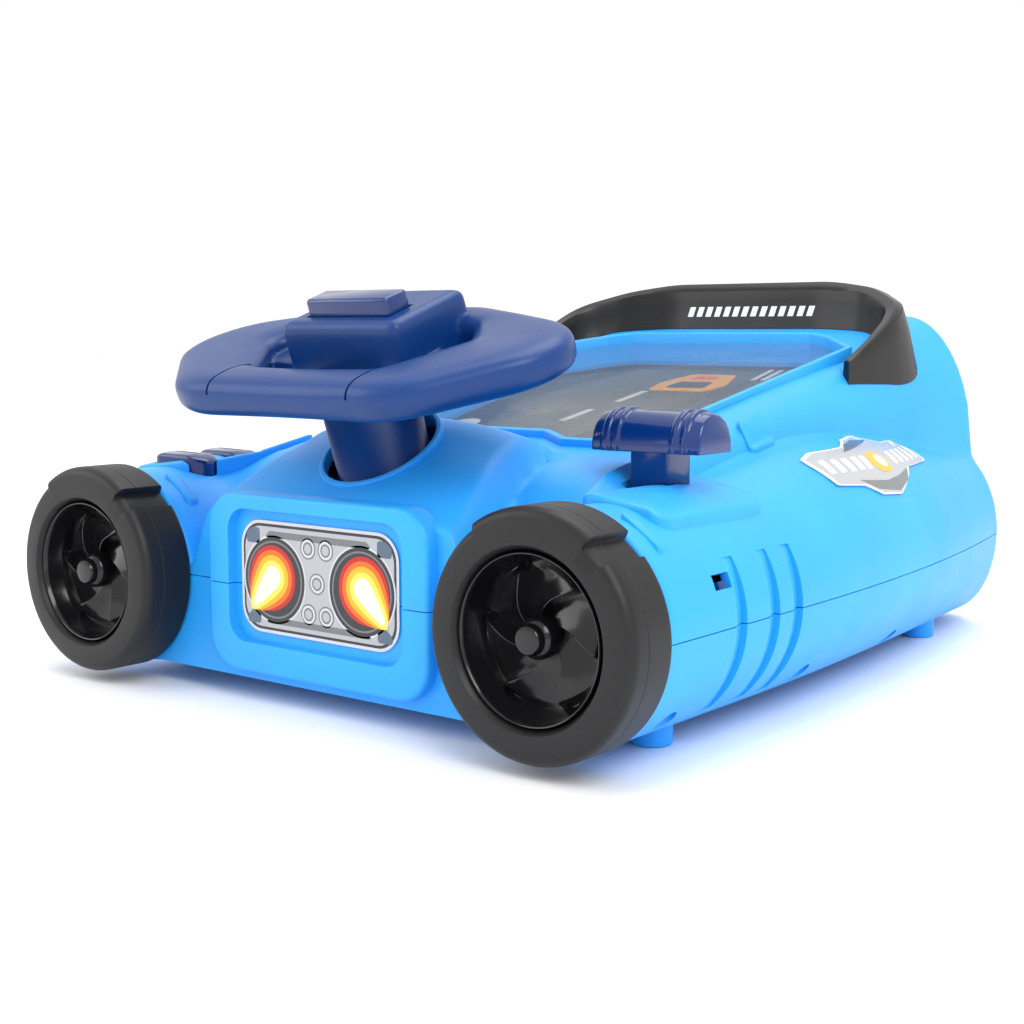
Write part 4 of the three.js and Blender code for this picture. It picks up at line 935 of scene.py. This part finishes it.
rails = [eased(rail) for rail in VISOR_RAILS]
profile = [rails[0], rails[1] * 0.85 + rails[0] * 0.15, rails[1] * 0.8 + rails[2] * 0.2,
           rails[1] * 0.3 + rails[2] * 0.7, rails[2] * 0.9 + rails[3] * 0.1 - (0, 0, 0.05),
           rails[2] * 0.5 + rails[3] * 0.5, rails[2] * 0.12 + rails[3] * 0.88 - (0, 0, 0.1),
           rails[3] * 0.8 + rails[4] * 0.2, rails[4], rails[4] * 0.8 + rails[5] * 0.2, rails[5]]
visor = skin("swept_visor", np.swapaxes(np.array(profile), 0, 1))
trim_rows = np.concatenate([np.arange(150, 235, 3.0), corner_rows])
cut(visor, field("trim", trim_rows, (22, 14, 22), lambda x, y: outside(x, y) + 0.25, -5))
cut(visor, skin("rim_room", rim_ring([(-0.4, -30), (-0.4, 30)])))
finish(visor, CHARCOAL, "body", "charcoal", "visor")

# %% [markdown]
# ## Stickers and the picture under the window
#
# The printed parts are thin sheets laid on each other like paper: two ringed lamps with flames and
# five rivets on the front panel, a badge with a band on each flank, and a road scene on the card.

# %% Printed colours
def print_colour(name, colour, roughness=0.28):
    return plastic(name, colour, roughness, grain_height=0.000004, tint=0.03)


PRINT = {
    "white": (0.78, 0.79, 0.8), "silver": (0.4, 0.41, 0.43), "pale": (0.56, 0.57, 0.59),
    "grey": (0.16, 0.17, 0.18),
    "dark": (0.03, 0.03, 0.034), "slate": (0.09, 0.13, 0.18), "red": (0.5, 0.015, 0.012),
    "orange": (0.9, 0.14, 0.01),
    "amber": (0.98, 0.42, 0.015), "yellow": (1.0, 0.72, 0.1), "cream": (1.0, 0.93, 0.62),
    "road": (0.10, 0.11, 0.115),
}
PRINT = {name: print_colour("print_" + name, colour) for name, colour in PRINT.items()}


def disc(x, y, r, count=48, stretch=1.0):
    a = np.linspace(0, 2 * math.pi, count, endpoint=False)
    return np.stack([x + r * stretch * np.cos(a), y + r * np.sin(a)], -1)


def teardrop(x, y, r, tip, count=48):
    """A round drop that runs out to a tip."""
    a = np.linspace(0, 2 * math.pi, count, endpoint=False)
    path = disc(x, y, r, count)
    to_tip = np.array(tip, float) - (x, y)
    reach = np.linalg.norm(to_tip)
    lead = np.clip(((path - (x, y)) @ to_tip) / (r * reach), 0, 1) ** 2.2
    return path + to_tip * (lead * (1 - r / reach))[:, None] * 0.98


def merge(name, sheets, body="body", nodes=()):
    """Join printed sheets into one piece that keeps its colours."""
    bpy.ops.object.select_all(action="DESELECT")
    for sheet in sheets:
        sheet.select_set(True)
    bpy.context.view_layer.objects.active = sheets[0]
    bpy.ops.object.join()
    piece = bpy.context.object
    piece.name = piece.data.name = name
    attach(piece, body)
    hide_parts(*nodes)
    print(name, len(sheets), "sheets")
    return piece


def coloured(piece, colour):
    piece.data.materials.append(PRINT[colour])
    return piece


# %% Front panel sticker
def panel_sheet(path, level, colour):
    """A sheet on the front panel, higher levels nearer to the player."""
    front, back = 14.44 - 0.035 * level, 14.6 if level == 0 else 14.46 - 0.035 * (level - 1)
    rings = [np.column_stack([path[:, 0], np.full(len(path), y), path[:, 1]]) for y in (back, front)]
    return coloured(skin("panel_sheet", rings), colour)


PANEL = [[-27.6, -11.8], [27.6, -11.8], [27.6, 17.2], [-27.6, 17.2]]
sheets = [panel_sheet(rounded(PANEL, 7, 10), 0, "pale"),
          panel_sheet(rounded(inset(PANEL, 0.8), 6.2, 10), 1, "dark"),
          panel_sheet(rounded(inset(PANEL, 1.5), 5.8, 10), 2, "silver")]
for low, high in ((12.9, 14.6), (-9.2, -7.6)):
    sheets.append(panel_sheet(rounded([[-19, low], [19, low], [17, high], [-17, high]], 0.7), 3, "grey"))
for sx in (-1, 1):
    for z0, z1 in ((11.2, 15.2), (-9.6, -6.2)):
        corner = np.array([[20.6, z0], [25.4, z0], [25.4, z1 - 1.5], [23.5, z1], [20.6, z1]]) * (sx, 1)
        sheets.append(panel_sheet(rounded(corner[::sx], 0.9), 3, "slate"))
    x, z = 15.3 * sx, 2.2
    for k, (r, colour) in enumerate(((11.4, "pale"), (10.9, "dark"), (10.0, "grey"), (9.5, "dark"))):
        sheets.append(panel_sheet(disc(x, z, r), 3 + k * 0.5, colour))
    tip = (x + 8.6 * sx, z - 8.2)
    fx, fz = x + 0.6 * sx, z + 0.6
    for k, (r, colour, reach) in enumerate(((8.2, "red", 0.8), (7.0, "orange", 0.92), (5.7, "amber", 0.97),
                                            (4.3, "yellow", 1.0), (2.9, "cream", 0.9))):
        end = (fx + (tip[0] - fx) * reach, fz + (tip[1] - fz) * reach)
        sheets.append(panel_sheet(teardrop(fx, fz, r, end), 5.0 + k * 0.5, colour))
for x, z in ((-3.1, 11.2), (3.1, 11.2), (0, 2.6), (-3.1, -5.4), (3.1, -5.4)):
    for k, (r, colour) in enumerate(((2.7, "grey"), (2.3, "pale"), (1.7, "grey"), (1.2, "silver"))):
        sheets.append(panel_sheet(disc(x, z, r, 28), 3 + k * 0.5, colour))
merge("panel_sticker", sheets, nodes=("panel_label",))

# %% Badges on the flanks
def flank_points(path, lift):
    """Points (y, z) laid on the right flank and lifted off it."""
    y, z = path[:, 0], path[:, 1]
    low = np.full(len(path), 55.0)
    high = half_width(y)
    for _ in range(40):
        x = (low + high) / 2
        above = top_height(x, y) > z
        low, high = np.where(above, x, low), np.where(above, high, x)
    return np.stack([low + 0.8 * lift, y, z + 0.6 * lift], -1)


def flank_sheet(path, level, colour, side):
    path = np.asarray(path, float)
    middle = path.mean(0)
    rings = [flank_points(path, 0.3 if level == 0 else 0.56 + 0.05 * (level - 1))]
    rings += [flank_points(middle + (path - middle) * t, 0.6 + 0.05 * level)
              for t in (1, 0.98, 0.8, 0.6, 0.4, 0.2, 0.04)]
    rings = np.array(rings) if side > 0 else mirrored(rings)
    return coloured(skin("flank_sheet", rings), colour)


BADGE = [[111, 31], [119, 32.4], [137, 33], [146, 34.4], [160, 34.6], [170, 32.4], [184, 32], [188, 26.4],
         [165, 26.2], [159, 24], [146, 20.4], [134, 21.2], [127, 24], [113, 25]]


def dense(path, count=96):
    """The same path with evenly spaced points."""
    path = np.asarray(path, float)
    closed = np.concatenate([path, path[:1]])
    place = np.concatenate([[0], np.cumsum(np.linalg.norm(np.diff(closed, axis=0), axis=1))])
    t = np.linspace(0, place[-1], count, endpoint=False)
    return np.stack([np.interp(t, place, closed[:, k]) for k in (0, 1)], -1)


for side, word in ((1, "right"), (-1, "left")):
    outline = rounded(BADGE, 1.2, 4)
    sheets = [flank_sheet(dense(outline), 0, "white", side),
              flank_sheet(dense(outline * 0.96 + np.mean(outline, 0) * 0.04), 1, "silver", side)]
    swoosh = dense([[126, 25.4], [133, 22.6], [146, 21.2], [157, 23.4], [162, 26], [152, 24.8],
                    [142, 24.2], [133, 24.8]])
    sheets.append(flank_sheet(swoosh, 2, "grey", side))
    arch = dense([[134, 31.8], [141, 33.4], [150, 34], [161, 33.4], [152, 33], [143, 32.4]])
    sheets.append(flank_sheet(arch, 2, "slate", side))
    sheets.append(flank_sheet(disc(147, 28.6, 2.6, 32, 2.2), 3, "amber", side))
    sheets.append(flank_sheet(disc(148.5, 28.8, 1.5, 32, 1.8), 4, "cream", side))
    for start in (115, 120.5, 126, 131.5, 136.5, 157, 162.5, 168, 173.5, 179):
        bar = dense([[start, 27.4], [start + 3, 27.5], [start + 4.3, 30.6], [start + 1.2, 30.5]], 24)
        sheets.append(flank_sheet(bar, 3, "white", side))
    merge("flank_badge_" + word, sheets, nodes=("side_label_" + word,))

# %% Road scene under the window
def scene_sheet(path, level, colour):
    """A sheet on the card under the glass, parallel to the rim."""
    top, low = -10.58 + 0.04 * level, -11.0 if level == 0 else -10.6 + 0.04 * (level - 1)
    rings = [np.column_stack([path, rim_plane(path[:, 1]) + z]) for z in (low, top)]
    return coloured(skin("scene_sheet", rings), colour)


card_path = rounded(inset(RIM_OUTLINE, 3.5), 0.6, 2)
sheets = [scene_sheet(card_path, 0, "dark")]
road = np.array([[-20, 84], [26, 84], [46, 150], [34, 196], [-26, 196], [-44, 150]])
sheets.append(scene_sheet(road, 1, "road"))
for x, y in ((-14, 112), (-10, 136), (-6, 160)):
    dash = np.array([[x - 1.4, y - 7], [x + 1.4, y - 7], [x + 2.6, y + 7], [x, y + 7]])
    sheets.append(scene_sheet(dash, 2, "white"))
for k in range(6):
    x = 24 + 3.6 * k
    bar = np.array([[x, 184], [x + 1.9, 184], [x + 1.2, 198], [x - 0.6, 198]])
    sheets.append(scene_sheet(bar, 2, "white"))
car = [[-5, 168], [17, 168], [20, 176], [16, 190], [-1, 190], [-6, 178]]
sheets.append(scene_sheet(rounded(car, 3), 3, "amber"))
sheets.append(scene_sheet(rounded([[-1, 172], [14, 172], [13, 180], [1, 180]], 1.5), 4, "dark"))
sheets.append(scene_sheet(rounded([[2, 183], [12, 183], [11, 187], [3, 187]], 1), 4, "orange"))
for x, y, r in ((-30, 96, 9), (-18, 91, 7), (-40, 108, 8), (-27, 112, 6), (-43, 122, 5), (20, 92, 6),
                (32, 98, 8), (-6, 90, 5)):
    sheets.append(scene_sheet(disc(x, y, r), 2, "white"))
merge("road_scene", sheets, nodes=("scenery_card",))

# %% A row of slanted bars on the visor
def visor_point(x, z):
    """A point on the visor's inner face."""
    inner_face = np.swapaxes(np.array([rails[4], rails[5]]), 0, 1)
    y4 = np.interp(x, *inner_face[np.argsort(inner_face[:, 0, 0])][:, 0, :2].T)
    y5 = np.interp(x, *inner_face[np.argsort(inner_face[:, 1, 0])][:, 1, :2].T)
    return y5 + (y4 - y5) * (z - 40) / 35.3


sheets = []
for k in range(14):
    x, low, high = -23 + 3.6 * k, 70.2, 73.6
    corners = np.array([[x, low], [x + 2.2, low], [x + 3.1, high], [x + 0.9, high]])
    face = np.array([visor_point(px, pz) for px, pz in corners])
    sheets.append(coloured(skin("visor_bar", [np.column_stack([corners[:, 0], face - d, corners[:, 1]])
                                              for d in (-0.3, 0.12)]), "white"))
merge("visor_bars", sheets)

# %% [markdown]
# ## Ready-made pieces that are only softened
#
# Some pieces already have their shape. Copies of them are merged, smoothed and given a fine rounding.

# %% Softened copies
def softened(node, width=0.0, angle=35, body="body"):
    """A copy of a ready-made piece with clean faces, rounded edges and smooth shading."""
    piece = NODES[node].copy()
    piece.data = piece.data.copy()
    piece.name = piece.data.name = "soft_" + node
    bpy.context.scene.collection.objects.link(piece)
    activate(piece)
    bpy.ops.object.parent_clear(type="CLEAR_KEEP_TRANSFORM")
    bpy.ops.object.transform_apply(location=True, rotation=True, scale=True)
    if width:
        round_edges(piece, width, 2, angle)
    else:
        bpy.ops.object.mode_set(mode="EDIT")
        bpy.ops.mesh.select_all(action="SELECT")
        bpy.ops.mesh.remove_doubles(threshold=2e-6)
        bpy.ops.object.mode_set(mode="OBJECT")
    finish(piece, FINISHES[SLOT_OF[node]], body, SLOT_OF[node], node)
    return piece


softened("steering_column", body="steering")
softened("power_switch_knob", 0.15, body="power_switch")
softened("window", 0.2)

# %% [markdown]
# ## The lower shell
#
# The lower shell is the same kind of solid, upside down: a flat belly between the two pods. It has
# four feet, wells for the case screws, a speaker grille and the battery bay.

# %% Lower shell
BELLY = 25.0                     # depth of the flat belly under the joint line
FEET = ((80, 44), (74, 205), (-80, 44), (-74, 205))
SCREWS = ((94, 27.1), (94, 88), (90.5, 146), (-94, 27.1), (-94, 88), (-90.5, 146))
BAY_Y = 150                      # middle of the battery bay


def underside(x, y):
    """Depth of the lower shell's outside under the joint line."""
    x = np.abs(x)
    crest = POD_X - 6 * smooth(y, 60, CORNER_Y)
    t = np.clip((x - crest) / np.maximum(half_width(y) - crest, 1), 0, 1)
    rear = np.clip((y - (REAR_Y - 7)) / 7, 0, 1)
    lift = 7 * 0.9 * (1 - np.sqrt(1 - rear * rear))
    pod = POD_RADIUS * np.sqrt(1 - t * t)
    belly = np.minimum(pod, BELLY + (POD_RADIUS - BELLY) * smooth(x, crest - 14, crest))
    return np.maximum(belly - lift * (1 - t * t), 0)


def under_inside(x, y):
    z = underside(x, y) - WALL
    for a in np.arange(8) * math.pi / 4:
        z = np.minimum(z, underside(x + WALL * math.cos(a), y + WALL * math.sin(a)))
    return np.maximum(z, 0.05)


def upside_down(piece):
    """Mirror a piece through the joint line."""
    activate(piece)
    bpy.ops.transform.mirror(constraint_axis=(False, False, True), center_override=tuple(ORIGIN))
    bpy.ops.object.transform_apply(location=True, rotation=True, scale=True)
    bpy.ops.object.mode_set(mode="EDIT")
    bpy.ops.mesh.select_all(action="SELECT")
    bpy.ops.mesh.normals_make_consistent(inside=False)
    bpy.ops.object.mode_set(mode="OBJECT")
    return piece


def peg(x, y, r, z0, z1, count=32):
    return skin("peg", [np.column_stack([disc(x, y, r, count), np.full(count, z)]) for z in (z0, z1)])


lower = upside_down(field("lower_housing", body_rows, (4, 8, 22), underside, -4))
cut_gills(lower)
join(lower, panel_prism(8, 10, 12.3, 18.8, 1.3))
cut(lower, upside_down(field("hollow", hollow_rows, (2, 4, 10), under_inside, -30, WALL)))
cut(lower, block((-130, -20, -0.12), (130, 300, 60)))
cut(lower, panel_prism(0, 6, 10, 14.9))
for x, y in FEET:
    join(lower, skin("foot", [np.column_stack([disc(x, y, r, 40), np.full(40, z)])
                              for r, z in ((5, -24.6), (5, -29.8), (4.8, -30.35), (4.2, -30.6))]))
for x, y in SCREWS:
    boss = peg(x, y, 4.2, -26.6, -0.12, 24)
    room = upside_down(field("room", body_rows[::3], (2, 4, 12), lambda u, v: underside(u, v) - 0.2, -4))
    combine(boss, room, "INTERSECT")
    join(lower, boss)
    cut(lower, peg(x, y, 3.0, -40, -8), peg(x, y, 1.6, -12, 1))
join(lower, block((-29.6, BAY_Y - 32.7, -24), (29.6, BAY_Y + 36.7, -20.8)),
     block((-25, BAY_Y - 30.2, -24), (25, BAY_Y + 30.2, -3.8)))
cut(lower, block((-22.8, BAY_Y - 28, -30), (22.8, BAY_Y + 28, -6)),
    block((-25.3, BAY_Y - 30.5, -30), (25.3, BAY_Y + 34.5, -22.8)))
for ring in range(3):
    for i in range(max(6 * ring, 1)):
        a = 2 * math.pi * i / max(6 * ring, 1)
        cut(lower, peg(5.5 * ring * math.cos(a), 75 + 5.5 * ring * math.sin(a), 1.6, -28, -20, 16))
finish(lower, SKY_BLUE, "body", "body", "lower_shell")
